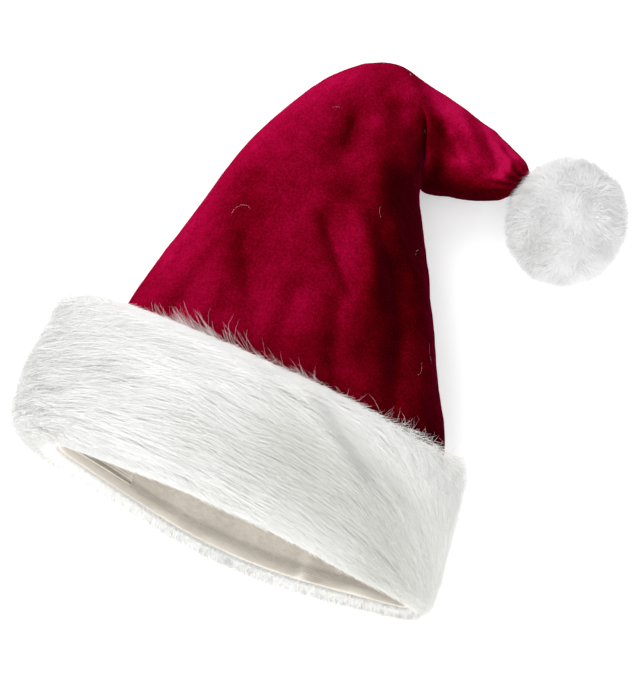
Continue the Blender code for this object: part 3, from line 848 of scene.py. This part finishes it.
# %% The band's form
PileDepth = namedtuple("PileDepth", "side angle at_mouth at_top")
PILE_DEPTHS = (
    PileDepth("right", 0.0, 0.0135, 0.0155),
    PileDepth("upper", 90.0, 0.0220, 0.0190),
    PileDepth("left", 180.0, 0.0385, 0.0400),
    PileDepth("under", 270.0, 0.0185, 0.0165),
    PileDepth("right again", 360.0, 0.0135, 0.0155),
)
BandRow = namedtuple(
    "BandRow",
    "name pelt_y pelt_share fur_y fur_share length turn under_length under_turn corner_y corner_share",
)
BAND_ROWS = (
    BandRow("edge", -0.0475, 0.02, -0.0520, 0.06, 0.005, -12, 0.008, -45, 0.0, 0.0),
    BandRow("lip front", -0.0490, 0.10, -0.0545, 0.24, 0.009, -15, 0.010, -40, 0.0, 0.0),
    BandRow("lip turn", -0.0475, 0.24, -0.0535, 0.52, 0.016, -12, 0.014, -30, 0.0, 0.0),
    BandRow("lip top", -0.0420, 0.42, -0.0485, 0.80, 0.028, -7, 0.020, -15, 0.0, 0.0),
    BandRow("by the mouth", -0.0320, 0.54, -0.0375, 0.96, 0.044, -2, 0.030, -5, 0.0, 0.0),
    BandRow("middle", -0.0050, 0.62, -0.0050, 1.04, 0.054, 0, 0.036, 0, 0.0, 0.0),
    BandRow("upper", 0.0220, 0.58, 0.0250, 1.02, 0.050, 0, 0.036, 0, 0.0, 0.0),
    BandRow("by the velvet", 0.0370, 0.44, 0.0415, 0.86, 0.038, 3, 0.030, 10, 0.003, 0.20),
    BandRow("top turn", 0.0430, 0.24, 0.0480, 0.54, 0.026, 8, 0.020, 25, 0.006, 0.44),
    BandRow("top edge", 0.0455, 0.08, 0.0515, 0.26, 0.017, 14, 0.014, 40, 0.009, 0.44),
    BandRow("over the velvet", 0.0460, 0.02, 0.0545, 0.12, 0.011, 20, 0.012, 50, 0.009, 0.26),
)
BAND_NUMBERS = np.array([row[1:] for row in BAND_ROWS])
LAST_ROW = len(BAND_ROWS) - 1
BAND_CLEARANCE = 0.0005
BAND_FORMS = (
    Fold("broad lock", 0.013, 0.040, 0.064, -0.006, 0.0100, 0.0050),
    Fold("valley beside the lock", 0.029, 0.034, 0.074, 0.006, 0.0075, -0.0085),
    Fold("left dent", -0.103, -0.004, -0.056, -0.018, 0.0120, -0.0075),
    Fold("ridge after the dent", -0.046, 0.010, -0.016, -0.038, 0.0100, 0.0040),
    Fold("valley after the ridge", -0.018, 0.008, 0.009, -0.034, 0.0090, -0.0045),
    Fold("right dent", 0.079, 0.015, 0.094, 0.010, 0.0080, -0.0070),
    Fold("streak by the velvet", -0.092, 0.032, -0.044, 0.027, 0.0070, -0.0035),
    Fold("left end's swell", -0.135, 0.034, -0.130, 0.000, 0.0160, 0.0030),
)


def pile_depth(angle, y):
    """The pile's depth round the band, eased from side to side, and from the mouth to the top edge."""
    degrees = np.degrees(angle) % 360
    marks = np.array([side.angle for side in PILE_DEPTHS])
    step = np.clip(np.searchsorted(marks, degrees, side="right") - 1, 0, len(marks) - 2)
    share = (degrees - marks[step]) / (marks[step + 1] - marks[step])
    share = share * share * (3 - 2 * share)
    mouth, top = (np.array([side[column] for side in PILE_DEPTHS]) for column in (2, 3))
    at_mouth = mouth[step] * (1 - share) + mouth[step + 1] * share
    at_top = top[step] * (1 - share) + top[step + 1] * share
    along = np.clip((y + 0.055) / 0.104, 0, 1)
    return at_mouth * (1 - along) + at_top * along


LEFT_BELL_WIDTH, RIGHT_BELL_WIDTH = 42, 38


def end_bells(angle):
    """Two bell curves round the band, of widths in degrees: 1 at its left end, and 1 at its right."""
    from_left = np.degrees(angle) % 360 - 180
    from_right = 180 - np.abs(from_left)
    left, right = from_left / LEFT_BELL_WIDTH, from_right / RIGHT_BELL_WIDTH
    return np.exp(-(left**2)), np.exp(-(right**2))


LipMark = namedtuple("LipMark", "angle back")
LIP_MARKS = (
    LipMark(0, 0.0065),
    LipMark(25, 0.0050),
    LipMark(50, 0.0010),
    LipMark(90, 0.0),
    LipMark(120, 0.0020),
    LipMark(148, 0.0045),
    LipMark(172, 0.0010),
    LipMark(190, 0.0),
    LipMark(300, 0.0),
    LipMark(335, 0.0030),
    LipMark(360, 0.0065),
)


def lip_back(angle):
    """How far the band's hem lies back from its straight line, between the nearest two marks."""
    marks = np.array(LIP_MARKS)
    return np.interp(np.degrees(angle) % 360, marks[:, 0], marks[:, 1])


# %% From band numbers to points
STATION_MARKS = np.linspace(0, 3.5, 71)
STATION_Y = smooth_between(SECTION_NUMBERS, STATION_MARKS)[:, 1]
CORNER_WEIGHTS = ((0.1, 0.8), (0.85, 0.75))


def band_wall(angle, y):
    """The velvet's outside at a place round it and a y, and the direction straight out from it. That
    direction is square to the section's run, which is taken from two points close on either side."""
    station = np.interp(y, STATION_Y, STATION_MARKS)
    wall = crown_point(station, angle)
    wall[..., 1] += np.minimum(y - STATION_Y[0], 0)
    step = 0.02
    run = crown_point(station, angle + step) - crown_point(station, angle - step)
    return wall, unit(np.stack([run[..., 2], np.zeros_like(run[..., 0]), -run[..., 0]], axis=-1))


def band_point(angle, row, height):
    """A point of the fur. height 0 is the pelt and 1 the outside of the pile. Each of the two is the
    velvet moved straight out by its share of the pile's depth, and the point lies between them. At the
    band's two ends the pile stands out further over the velvet, by the table's corner columns times the
    bell curves, which squares its corners."""
    numbers = smooth_between(BAND_NUMBERS, row)
    left, right = end_bells(angle)
    lip = lip_back(angle) * np.clip(1 - row / 5, 0, 1)
    pelt_y = numbers[..., 0] + lip
    corner_y, corner_share = (
        left_weight * left + right_weight * right for left_weight, right_weight in CORNER_WEIGHTS
    )
    fur_y = numbers[..., 2] + lip + corner_y * numbers[..., 8]
    fur_share = numbers[..., 3] + corner_share * numbers[..., 9]
    ends = []
    for y, share in ((pelt_y, numbers[..., 1]), (fur_y, fur_share)):
        wall, out = band_wall(angle, y)
        relief = fold_height(wall[..., :2], BAND_FORMS) * np.clip(np.sin(angle) * 1.5, 0, 1)
        depth = (pile_depth(angle, y) + relief) * share
        ends.append(wall + out * (BAND_CLEARANCE + depth)[..., None])
    return ends[0] * (1 - height[..., None]) + ends[1] * height[..., None]


# %% The pelt
PELT_COLUMNS, PELT_ROWS, PELT_BACK_ROWS = 260, 30, 4


def make_pelt():
    """The strip's body: the mapping at height 0 over its outside, and rows against the velvet behind,
    joined into a closed ring. Low noise makes it uneven where it shows between the hairs."""
    angle = np.arange(PELT_COLUMNS) * 2 * math.pi / PELT_COLUMNS
    row, front_angle = np.meshgrid(np.linspace(0, LAST_ROW - 1, PELT_ROWS), angle, indexing="ij")
    front = band_point(front_angle, row, np.zeros_like(row))
    lumps = 0.0012 * soft_noise(front, (0.009, 0.005, 0.009), 31)
    lumps = lumps * np.clip(np.sin(row / LAST_ROW * math.pi), 0, 1)
    front = front + grid_normals(front) * lumps[..., None]
    y, back_angle = np.meshgrid(np.linspace(0.0430, -0.0485, PELT_BACK_ROWS), angle, indexing="ij")
    wall, out = band_wall(back_angle, y)
    grid = np.concatenate([front, wall + out * BAND_CLEARANCE])
    grid[..., 2] = np.maximum(grid[..., 2], 0.0)
    faces = grid_faces(len(grid), PELT_COLUMNS, close_rows=True)
    piece = link_mesh("fur_band_pelt", grid.reshape(-1, 3), faces, fur_white)
    # Painted shade: the pelt, seen in the gaps between the hairs, is painted greyer than the tips.
    give_numbers(piece, "painted_shade_and_tone", np.full(len(piece.data.vertices), 0.7))
    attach(piece, "root")
    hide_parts("fur_band")
    print("the pelt has", len(faces), "faces")


make_pelt()

# %% [markdown]
# ### How the pile is combed
# Round the mouth, the pile of the real strip lies one way. On the upper side it runs from the left end
# to the right one, and it turns down towards the mouth at the right. The table gives that direction at
# a few places, and the hairs are drawn along it. Then they are gathered into locks: each hair's path is
# pulled towards its lock's own, more and more towards the tip.

# %% Lengths round and across the band
RING_MARKS = np.linspace(0, 2 * math.pi, 721)
ROW_MARKS = np.arange(LAST_ROW + 1, dtype=float)
MIDDLE_ROW = 5.0
PILE_MIDDLE = 0.7


def lengths_along(angles, rows):
    """The length along a line in the pile at each of its points: the sum of the steps so far."""
    points = band_point(angles, rows, np.full(len(angles), PILE_MIDDLE))
    return np.concatenate([[0], np.cumsum(np.linalg.norm(np.diff(points, axis=0), axis=1))])


RING_LENGTHS = lengths_along(RING_MARKS, np.full(len(RING_MARKS), MIDDLE_ROW))
RING_LENGTH = RING_LENGTHS[-1]
ROW_LENGTHS = lengths_along(np.full(len(ROW_MARKS), math.pi / 2), ROW_MARKS)
print("the band is", round(1000 * RING_LENGTH), "mm round")
print("its pile is", round(1000 * ROW_LENGTHS[-1]), "mm across")


def angle_at(length):
    """The angle round the band at a length round it, read between the marks."""
    return np.interp(length % RING_LENGTH, RING_LENGTHS, RING_MARKS)


def row_at(length):
    """The strip's row at a length across it, read between the marks."""
    return np.interp(length, ROW_LENGTHS, ROW_MARKS)


# %% The comb
Comb = namedtuple("Comb", "side angle by_mouth middle by_velvet")
COMBS = (
    Comb("right end", 0, -25, -68, -80),
    Comb("upper right", 38, -4, -44, -62),
    Comb("before the parting", 56, 0, -20, -36),
    Comb("beside the lock", 68, 0, -12, -20),
    Comb("top", 88, 0, -5, -6),
    Comb("upper left", 118, 4, 4, 6),
    Comb("left turn", 150, 12, 16, 18),
    Comb("left end", 180, 15, 20, 24),
    Comb("under the left", 220, 0, 4, 8),
    Comb("under", 270, 0, 0, 0),
    Comb("under the right", 325, -12, -35, -40),
    Comb("right end again", 360, -25, -68, -80),
)


def under_share(angle):
    """1 on the band's underside, 0 on its upper side, and a slope between them at the two ends."""
    return np.clip(-1.5 * np.sin(angle) - 0.15, 0, 1)


def band_numbers_at(angle, row, upper, under):
    """A pair of the table's columns, blended from the upper side to the underside."""
    pair = smooth_between(BAND_NUMBERS[:, [upper, under]], row)
    share = under_share(angle)
    return pair[..., 0] * (1 - share) + pair[..., 1] * share


def comb_direction(angle, row):
    """The direction of the pile, as an angle from the run round the band, positive towards the velvet.
    It is read from the table by the place round the band and across it, and each row of the strip adds
    its own turn at the edges."""
    degrees = np.degrees(angle) % 360
    marks = [comb.angle for comb in COMBS]
    mouth, middle, velvet = (
        np.interp(degrees, marks, [comb[column] for comb in COMBS]) for column in (2, 3, 4)
    )
    across = np.clip((row - 3.0) / 5.0, 0, 1)
    low = mouth + (middle - mouth) * np.clip(across * 2, 0, 1)
    flow = low + (velvet - low) * np.clip(across * 2 - 1, 0, 1)
    return np.radians(flow + band_numbers_at(angle, row, 5, 7))


# %% Paths of the hairs
LOCK_SIZE, LOCK_PULL = (0.0140, 0.0070), 0.11
WISP_SIZE, WISP_PULL = (0.0050, 0.0020), 0.16


def nearest_lock(place, size, seed):
    """The middle of the lock that a hair belongs to: the cell that it lies in, with the cell's middle
    moved at random. Every other row of cells is shifted by half, so no lines of locks show."""
    cell_v = np.floor(place[:, 1] / size[1]).astype(np.int64)
    cell_u = np.floor(place[:, 0] / size[0] + 0.5 * (cell_v % 2)).astype(np.int64)
    cells = np.stack([cell_u, cell_v, np.zeros_like(cell_u)], axis=1)
    u = (cell_u + 0.5 - 0.5 * (cell_v % 2) + 0.35 * lattice_value(cells, seed)) * size[0]
    v = (cell_v + 0.5 + 0.35 * lattice_value(cells, seed + 1)) * size[1]
    return np.stack([u, v], axis=1), cells


def slow_down(distance, room):
    """Distances that approach a limit: small ones stay, and large ones never pass the room."""
    return distance * room / (np.maximum(distance, 0) + room)


HairKind = namedtuple("HairKind", "steps rise base lift length longest stray width")
LONG_HAIR = HairKind(
    steps=np.array([0.0, 0.24, 0.60, 1.0]),
    rise=np.array([0.0, 0.58, 0.99, 1.0]),
    base=-0.05,
    lift=(0.78, 1.02),
    length=(0.75, 1.10),
    longest=0.060,
    stray=2.5,
    width=0.00034,
)
FUZZ_HAIR = HairKind(
    steps=np.array([0.0, 0.5, 1.0]),
    rise=np.array([0.0, 0.56, 1.0]),
    base=0.70,
    lift=(0.98, 1.32),
    length=(0.6, 1.2),
    longest=0.012,
    stray=35.0,
    width=0.00026,
)


def comb_hairs(place, length, lift, kind, rng):
    """Paths of hairs that start at places round and across the band. A hair steps along the comb's
    direction, and is pulled towards its lock and its wisp by a share that grows with the distance along
    it. Its height rises by its kind's table. What would run past the strip's edges goes straight on."""
    lock, lock_cell = nearest_lock(place, LOCK_SIZE, 41)
    wisp, wisp_cell = nearest_lock(place, WISP_SIZE, 51)
    sway = 4.0 * lattice_value(lock_cell, 61) + 3.0 * lattice_value(wisp_cell, 62)
    sway = sway + rng.normal(0, 1, len(place)) * kind.stray
    bow = 7 * lattice_value(lock_cell, 63) + rng.normal(0, 4, len(place))
    lift = lift * (0.97 + 0.04 * lattice_value(lock_cell, 64) + 0.02 * lattice_value(wisp_cell, 65))
    at = place.copy()
    places = []
    for k, share in enumerate(kind.steps):
        if k:
            step = length * (share - kind.steps[k - 1])
            heading = comb_direction(angle_at(at[:, 0]), row_at(at[:, 1]))
            heading = heading + np.radians(sway + bow * share)
            at = at + np.stack([-np.cos(heading), np.sin(heading)], axis=1) * step[:, None]
        pull = share**1.4
        places.append(at + LOCK_PULL * pull * (lock - place) + WISP_PULL * pull * (wisp - place))
    places = np.stack(places, axis=1)
    room = 0.016 + 0.004 * under_share(angle_at(place[:, 0]))[:, None]
    places[..., 1] = 0.010 - slow_down(0.010 - places[..., 1], room)
    past_top = places[..., 1] + 0.010 - ROW_LENGTHS[-1]
    places[..., 1] = ROW_LENGTHS[-1] - 0.010 + slow_down(past_top, 0.016)
    height = kind.base + (lift[:, None] - kind.base) * kind.rise
    paths = band_point(angle_at(places[..., 0]), row_at(places[..., 1]), height)
    paths[..., 1] += places[..., 1] - np.clip(places[..., 1], 0, ROW_LENGTHS[-1])
    return paths


# %% Grow the band's fur
# Regions where the band's hairs are painted darker: painted shade on the right half, by the hem at the right
# and in the left dent.
FUR_PAINTED_SHADE = (
    Fold("dull right half", 0.000, -0.003, 0.074, -0.012, 0.036, -0.46),
    Fold("dull by the hem at the right", 0.095, -0.045, 0.122, -0.045, 0.022, -0.25),
    Fold("shade in the left dent", -0.066, -0.006, -0.052, -0.026, 0.012, -0.16),
)


def band_roots(count, kind, rng):
    """Evenly spread places, with fewer of them under the hat, where the pile is pressed flat. The short
    fuzz grows mostly where the band is seen against what lies behind it, at its ends and edges."""
    spread = rng.random((8 * count, 2)) * (RING_LENGTH, ROW_LENGTHS[LAST_ROW - 1])
    angle, row = angle_at(spread[:, 0]), row_at(spread[:, 1])
    middle = (row > 3.2) & (row < 7)
    wanted = 1 - 0.60 * under_share(angle) * middle
    if kind is FUZZ_HAIR:
        at_ends = np.clip(2.2 * np.abs(np.cos(angle)) - 1.1, 0, 1)
        wanted = wanted * np.maximum(0.12, np.maximum(at_ends, 0.45 * ((row < 3) | (row > 7.5))))
    kept = rng.random(len(spread)) < wanted
    return spread[kept][:count]


def grow_band(name, count, seed, kind):
    """Long hairs make the combed locks. Fuzz stands up more and strays more, which softens the outline.
    It stands out by the same length where the pile is deep, and it is made duller than the locks, as
    it would look too bright over them. Widths go from nothing at the root over a full ring to a fine tip."""
    rng = np.random.default_rng(seed)
    place = band_roots(count, kind, rng)
    angle = angle_at(place[:, 0])
    length = np.minimum(band_numbers_at(angle, row_at(place[:, 1]), 4, 6), kind.longest)
    length = length * rng.uniform(*kind.length, count)
    lift = rng.uniform(*kind.lift, count)
    if kind is FUZZ_HAIR:
        lift = 1 + (lift - 1) * 0.026 / pile_depth(angle, 0.0)
    paths = comb_hairs(place, length, lift, kind, rng)
    keep_above_floor(paths, 0.0016, rng)
    profile = np.interp(kind.steps, [0.0, 0.2, 0.6, 1.0], [1.0, 1.0, 0.85, 0.0])
    widths = kind.width * rng.uniform(0.75, 1.25, count)[:, None] * profile
    facing = band_wall(angle, np.zeros(count))[1] + rng.normal(0, 0.10, (count, 3))
    facing[:, 1] += np.interp(row_at(place[:, 1]), [0, 3, 7, 10], [-0.9, 0, 0, 0.7])
    # Painted shade: hairs that reach less high are darker, and so are those in the regions above; a little
    # random tone is added.
    tone_and_painted_light = 0.83 + 0.16 * lift + rng.normal(0, 0.03, count) + fold_height(paths[:, 1, :2], FUR_PAINTED_SHADE)
    if kind is FUZZ_HAIR:
        tone_and_painted_light = tone_and_painted_light - 0.30
    tone_and_painted_light = np.clip(tone_and_painted_light, 0.1, 1)[:, None]
    # Painted shade: each hair is painted darker towards its root, deep in the pile.
    shades = tone_and_painted_light * np.interp(kind.steps, [0.0, 0.24, 0.6, 1.0], [0.8, 0.95, 1.0, 1.0])
    piece = make_hairs(name, paths, widths, unit(facing), shades, fur_white)


for layer in range(3):
    grow_band(f"fur_band_pile_{layer + 1}", 13400, 100 + layer, LONG_HAIR)
grow_band("fur_band_fuzz", 22000, 110, FUZZ_HAIR)

# %% [markdown]
# ### The fringe at the hem
# Along the hem of the mouth the pile's short hairs stand forward, and on the underside they make a soft
# white fringe that shows below the lining. Each hair leaves the hem forwards and a little inwards, over
# the lining's edge, and bends away outwards as an arc.

# %% Grow the fringe
FringeMark = namedtuple("FringeMark", "side angle reach")
FRINGE_MARKS = (
    FringeMark("upper left", 160, 0.0050),
    FringeMark("left end", 180, 0.0085),
    FringeMark("under the left", 215, 0.0095),
    FringeMark("under", 265, 0.0115),
    FringeMark("under the right", 300, 0.0095),
    FringeMark("by the right end", 335, 0.0070),
    FringeMark("right end", 360, 0.0055),
    FringeMark("over the right end", 380, 0.0045),
)
FRINGE_HAIRS = 9500
FRINGE_STEPS = np.array([0.0, 0.5, 1.0])
FRINGE_LAYER = 0.0060
FRINGE_WIDTH = 0.00026


def grow_fringe():
    """A hair's direction starts at an angle above straight forward and turns steadily downwards, so its
    path is an arc of a circle: sines and cosines of the angle so far, over the turn. The hairs start in
    a layer between the lining's edge and the pile, and those further out start lower and lean out."""
    rng = np.random.default_rng(13)
    marks = np.radians([mark.angle for mark in FRINGE_MARKS])
    angle = rng.uniform(marks[0], marks[-1], FRINGE_HAIRS)
    layer = rng.random(FRINGE_HAIRS) ** 1.3
    reach = np.interp(angle, marks, [mark.reach for mark in FRINGE_MARKS])
    length = reach * (0.65 + 0.95 * rng.random(FRINGE_HAIRS) ** 2)
    edge, out = turned_edge(angle)[0], band_wall(angle, np.full(FRINGE_HAIRS, STATION_Y[0]))[1]
    start = edge + out * (FRINGE_LAYER * layer)[:, None]
    rise = np.radians(24 - 52 * layer + rng.normal(0, 9, FRINGE_HAIRS))[:, None]
    bend = np.radians(rng.uniform(35, 85, FRINGE_HAIRS))[:, None]
    forward = (np.sin(rise) - np.sin(rise - bend * FRINGE_STEPS)) / bend
    inward = (np.cos(rise - bend * FRINGE_STEPS) - np.cos(rise)) / bend
    cells = np.zeros((FRINGE_HAIRS, 3), np.int64)
    cells[:, 0] = np.floor(angle * 60)
    lean = np.radians(10 + 12 * lattice_value(cells, 33) + rng.normal(0, 15, FRINGE_HAIRS))[:, None]
    side = np.cross(out, np.array([0.0, 1.0, 0.0]))
    ahead = np.array([0.0, -1.0, 0.0])
    size = length[:, None, None]
    paths = start[:, None] + size * forward[..., None] * ahead
    paths = paths - size * inward[..., None] * out[:, None]
    paths += size * (forward * np.tan(lean))[..., None] * side[:, None]
    keep_above_floor(paths, 0.0012, rng)
    widths = FRINGE_WIDTH * rng.uniform(0.7, 1.3, FRINGE_HAIRS)[:, None] * np.array([1.0, 1.0, 0.0])
    facing = -out * (1 - layer[:, None]) + ahead * (0.3 + layer[:, None])
    facing = unit(facing + rng.normal(0, 0.15, (FRINGE_HAIRS, 3)))
    piece = make_hairs("fur_hem_fringe", paths, widths, facing, np.full(widths.shape, 0.9), fringe_white)


grow_fringe()

# %% [markdown]
# ### Loose hairs
# Where the band meets the velvet, single long hairs stand out over the dark cloth, in small groups.
# A few lost ones lie on the velvet like lint. They are few, but they show at once that this is fur.

# %% Hairs over the velvet's edge
Group = namedtuple("Group", "name x count heading spread reach")
EDGE_GROUPS = (
    Group("far left", -0.100, 20, 162, 14, 0.010),
    Group("left", -0.084, 50, 158, 10, 0.015),
    Group("left wisps", -0.064, 90, 156, 10, 0.020),
    Group("left of the middle", -0.048, 60, 154, 12, 0.019),
    Group("middle", -0.032, 24, 140, 24, 0.018),
    Group("over the middle", -0.012, 24, 158, 14, 0.013),
    Group("by the lock", 0.010, 60, 150, 22, 0.009),
    Group("on the lock", 0.026, 14, 160, 24, 0.007),
    Group("right of the lock", 0.046, 8, 100, 60, 0.008),
    Group("right", 0.064, 10, 45, 50, 0.012),
    Group("right wisps", 0.078, 40, 75, 45, 0.010),
    Group("far right", 0.092, 50, 85, 45, 0.007),
    Group("right end", 0.102, 40, 90, 35, 0.006),
)
EDGE_HAIR_STEPS = np.array([0.0, 0.33, 0.67, 1.0])
EDGE_HAIR_WIDTH = 0.00009
EDGE_HAIR_START_Y = 0.0470
EDGE_MIDDLE_X, EDGE_HALF_WIDTH = -0.008, 0.120


def grow_edge_hairs():
    """Each hair starts inside the band's top edge and runs over the velvet along its group's heading,
    an angle from +X, while its height above the cloth first rises and then falls as an arc."""
    rng = np.random.default_rng(5)
    groups = [group[1:] for group in EDGE_GROUPS]
    x, count, heading, spread, reach = np.array(groups, float).T
    pick = np.repeat(np.arange(len(groups)), count.astype(int))
    total = len(pick)
    start_x = x[pick] + rng.normal(0, 0.006, total)
    start_angle = np.arccos(np.clip((start_x - EDGE_MIDDLE_X) / EDGE_HALF_WIDTH, -0.98, 0.98))
    turn = np.radians(heading[pick] + rng.normal(0, 1, total) * spread[pick])
    curl = rng.normal(0, 0.22, total)
    length = reach[pick] * rng.uniform(0.35, 1.5, total)
    step = EDGE_HAIR_STEPS[None]
    bearing = turn[:, None] + curl[:, None] * step
    distance = length[:, None] * step
    y = EDGE_HAIR_START_Y + rng.uniform(0, 0.005, total)[:, None] + np.sin(bearing) * distance
    angle = start_angle[:, None] - np.cos(bearing) * distance / 0.115
    wall, out = band_wall(angle, y)
    rise = rng.uniform(0.003, 0.008, total)[:, None]
    height = 0.0030 + rise * np.sin(step * math.pi * rng.uniform(0.5, 0.95, total)[:, None])
    paths = wall + out * height[..., None]
    widths = EDGE_HAIR_WIDTH * rng.uniform(0.6, 1.6, total)[:, None] * np.array([1.0, 1.0, 0.7, 0.0])
    facing = out[:, 0] + rng.normal(0, 0.2, (total, 3))
    shades = np.full(paths.shape[:2], 0.95)
    piece = make_hairs("fur_band_loose_hairs", paths, widths, facing, shades, fur_white)


grow_edge_hairs()

# %% Lint on the velvet
Lint = namedtuple("Lint", "station angle length heading curl")
LINTS = (
    Lint(3.9, 128, 0.020, 60, 2.6),
    Lint(8.1, 105, 0.014, -20, 1.4),
    Lint(8.6, 60, 0.024, 160, 1.2),
    Lint(6.2, 112, 0.008, 100, 1.5),
    Lint(4.6, 34, 0.011, 80, 1.8),
    Lint(2.9, 38, 0.014, 160, -1.4),
    Lint(3.2, 22, 0.016, 60, 0.8),
    Lint(4.8, 60, 0.009, 30, 1.5),
)
LINT_STEPS = np.linspace(0, 1, 9)
LINT_WIDTH, LINT_LIFT = 0.00006, 0.0014
METRES_PER_STATION, METRES_PER_RADIAN = 0.045, 0.08


def lay_lint():
    """Curled hairs on the velvet. The bearing turns steadily along a hair, which draws an arc."""
    station, angle, length, heading, curl = np.array(LINTS, float).T[:, :, None]
    bearing = np.radians(heading) + curl * LINT_STEPS
    stride = length / (len(LINT_STEPS) - 1)
    along = np.cumsum(np.sin(bearing) * stride, axis=1)
    around = np.cumsum(np.cos(bearing) * stride, axis=1)
    station = station + along / METRES_PER_STATION
    angle = np.radians(angle) + around / METRES_PER_RADIAN
    out = crown_normal(station, angle)
    paths = crown_point(station, angle) + out * LINT_LIFT
    widths, shades = np.full(paths.shape[:2], LINT_WIDTH), np.full(paths.shape[:2], 0.9)
    piece = make_hairs("velvet_lint", paths, widths, out[:, 0], shades, fur_white)


lay_lint()

# %% [markdown]
# ## The pompom
# A real pompom of this kind is a ball of short dense fur, sewn shut round its filling. The ball here is
# uneven, and its hairs stand nearly straight out of it and lean together in small tufts. The floor
# presses the lowest of them aside.

# %% Make the pompom
pompom_low, pompom_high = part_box("pompom")
POMPOM_RADIUS = 0.5 * (pompom_high.x - pompom_low.x)
POMPOM_CENTRE = np.array(
    [0.5 * (pompom_low.x + pompom_high.x), 0.5 * (pompom_low.y + pompom_high.y), 0.040]
)
POMPOM_BALL_SHARE = 0.88
POMPOM_STRETCH = np.array([1.05, 1.15, 1.0])
POMPOM_HAIRS = 21000
POMPOM_HAIR_WIDTH = 0.00050
POMPOM_RINGS, POMPOM_COLUMNS = 48, 96
POMPOM_STEPS = np.array([0.0, 0.45, 1.0])


def even_directions(count):
    """Directions spread evenly over a ball, each turned from the last by the golden angle."""
    k = np.arange(count)
    z = 1 - 2 * (k + 0.5) / count
    turn = k * math.pi * (3 - math.sqrt(5))
    flat = np.sqrt(1 - z * z)
    return np.stack([flat * np.cos(turn), flat * np.sin(turn), z], axis=1)


def make_pompom_ball():
    """A ball in rings from pole to pole, its radius uneven by soft noise."""
    rings, columns = POMPOM_RINGS, POMPOM_COLUMNS
    polar, turn = np.meshgrid(
        np.linspace(0.02, math.pi - 0.02, rings), np.arange(columns) * 2 * math.pi / columns, indexing="ij"
    )
    out = np.stack([np.sin(polar) * np.cos(turn), np.sin(polar) * np.sin(turn), np.cos(polar)], axis=-1)
    radius = POMPOM_RADIUS * POMPOM_BALL_SHARE * (1 + 0.03 * soft_noise(out, (0.4, 0.4, 0.4), 71))
    grid = POMPOM_CENTRE + out * radius[..., None] * POMPOM_STRETCH
    quads = grid_faces(rings, columns)
    caps = []
    for ring, pole in ((0, rings * columns), (rings - 1, rings * columns + 1)):
        edge = ring * columns + np.arange(columns)
        pair = (np.roll(edge, -1), edge) if ring else (edge, np.roll(edge, -1))
        caps.append(np.stack([*pair, np.full(columns, pole)], axis=1))
    poles = np.stack([grid[0].mean(axis=0), grid[-1].mean(axis=0)])
    points = np.vstack([grid.reshape(-1, 3), poles])
    triangles = np.concatenate([quads[:, [0, 1, 2]], quads[:, [0, 2, 3]], caps[0], caps[1]])
    piece = link_mesh("pompom_ball", points, triangles, plush_white)
    # Painted shade: the ball under the pile is painted greyer than the hair tips.
    give_numbers(piece, "painted_shade_and_tone", np.full(len(points), 0.7))
    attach(piece, "root")
    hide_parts("pompom")
    print("the pompom's mean radius, mm:", round(1000 * radius.mean(), 1))


def make_pompom_pile():
    """Short hairs. Each leans by smooth noise over the ball, so neighbours lean together in tufts, and the
    pile is shorter along a few soft clefts. The clefts and the roots are painted darker: painted shade."""
    rng = np.random.default_rng(7)
    out = even_directions(POMPOM_HAIRS)
    out = unit(out + rng.normal(0, 0.012, out.shape))
    lean = np.stack([soft_noise(out, (0.30, 0.30, 0.30), seed) for seed in (81, 82, 83)], axis=1)
    fine = np.stack([soft_noise(out, (0.11, 0.11, 0.11), seed) for seed in (84, 85, 86)], axis=1)
    lean = 0.34 * lean + 0.06 * fine + rng.normal(0, 0.07, out.shape)
    cleft = np.exp(-((soft_noise(out, (0.55, 0.55, 0.55), 91) / 0.10) ** 2))
    reach = POMPOM_RADIUS * (1.02 + rng.uniform(-0.05, 0.01, POMPOM_HAIRS) - 0.04 * cleft)
    start = POMPOM_RADIUS * (POMPOM_BALL_SHARE - 0.05)
    share = POMPOM_STEPS[None, :, None]
    direction = unit(out[:, None] + lean[:, None] * share**1.5 * 0.6)
    radius = start + (reach - start)[:, None, None] * share
    paths = POMPOM_CENTRE + direction * radius * POMPOM_STRETCH
    keep_above_floor(paths, 0.0012, rng)
    widths = POMPOM_HAIR_WIDTH * rng.uniform(0.75, 1.25, POMPOM_HAIRS)[:, None] * np.array([1.0, 1.0, 0.0])
    facing = unit(out + rng.normal(0, 0.25, out.shape))
    # Painted shade: hairs in the clefts are darker, and each hair darkens towards its root.
    tone_and_painted_light = np.clip(0.97 - 0.12 * cleft + rng.normal(0, 0.02, POMPOM_HAIRS), 0, 1)[:, None]
    shades = tone_and_painted_light * np.array([0.80, 0.95, 1.0])
    piece = make_hairs("pompom_pile", paths, widths, facing, shades, plush_white)


make_pompom_ball()
make_pompom_pile()
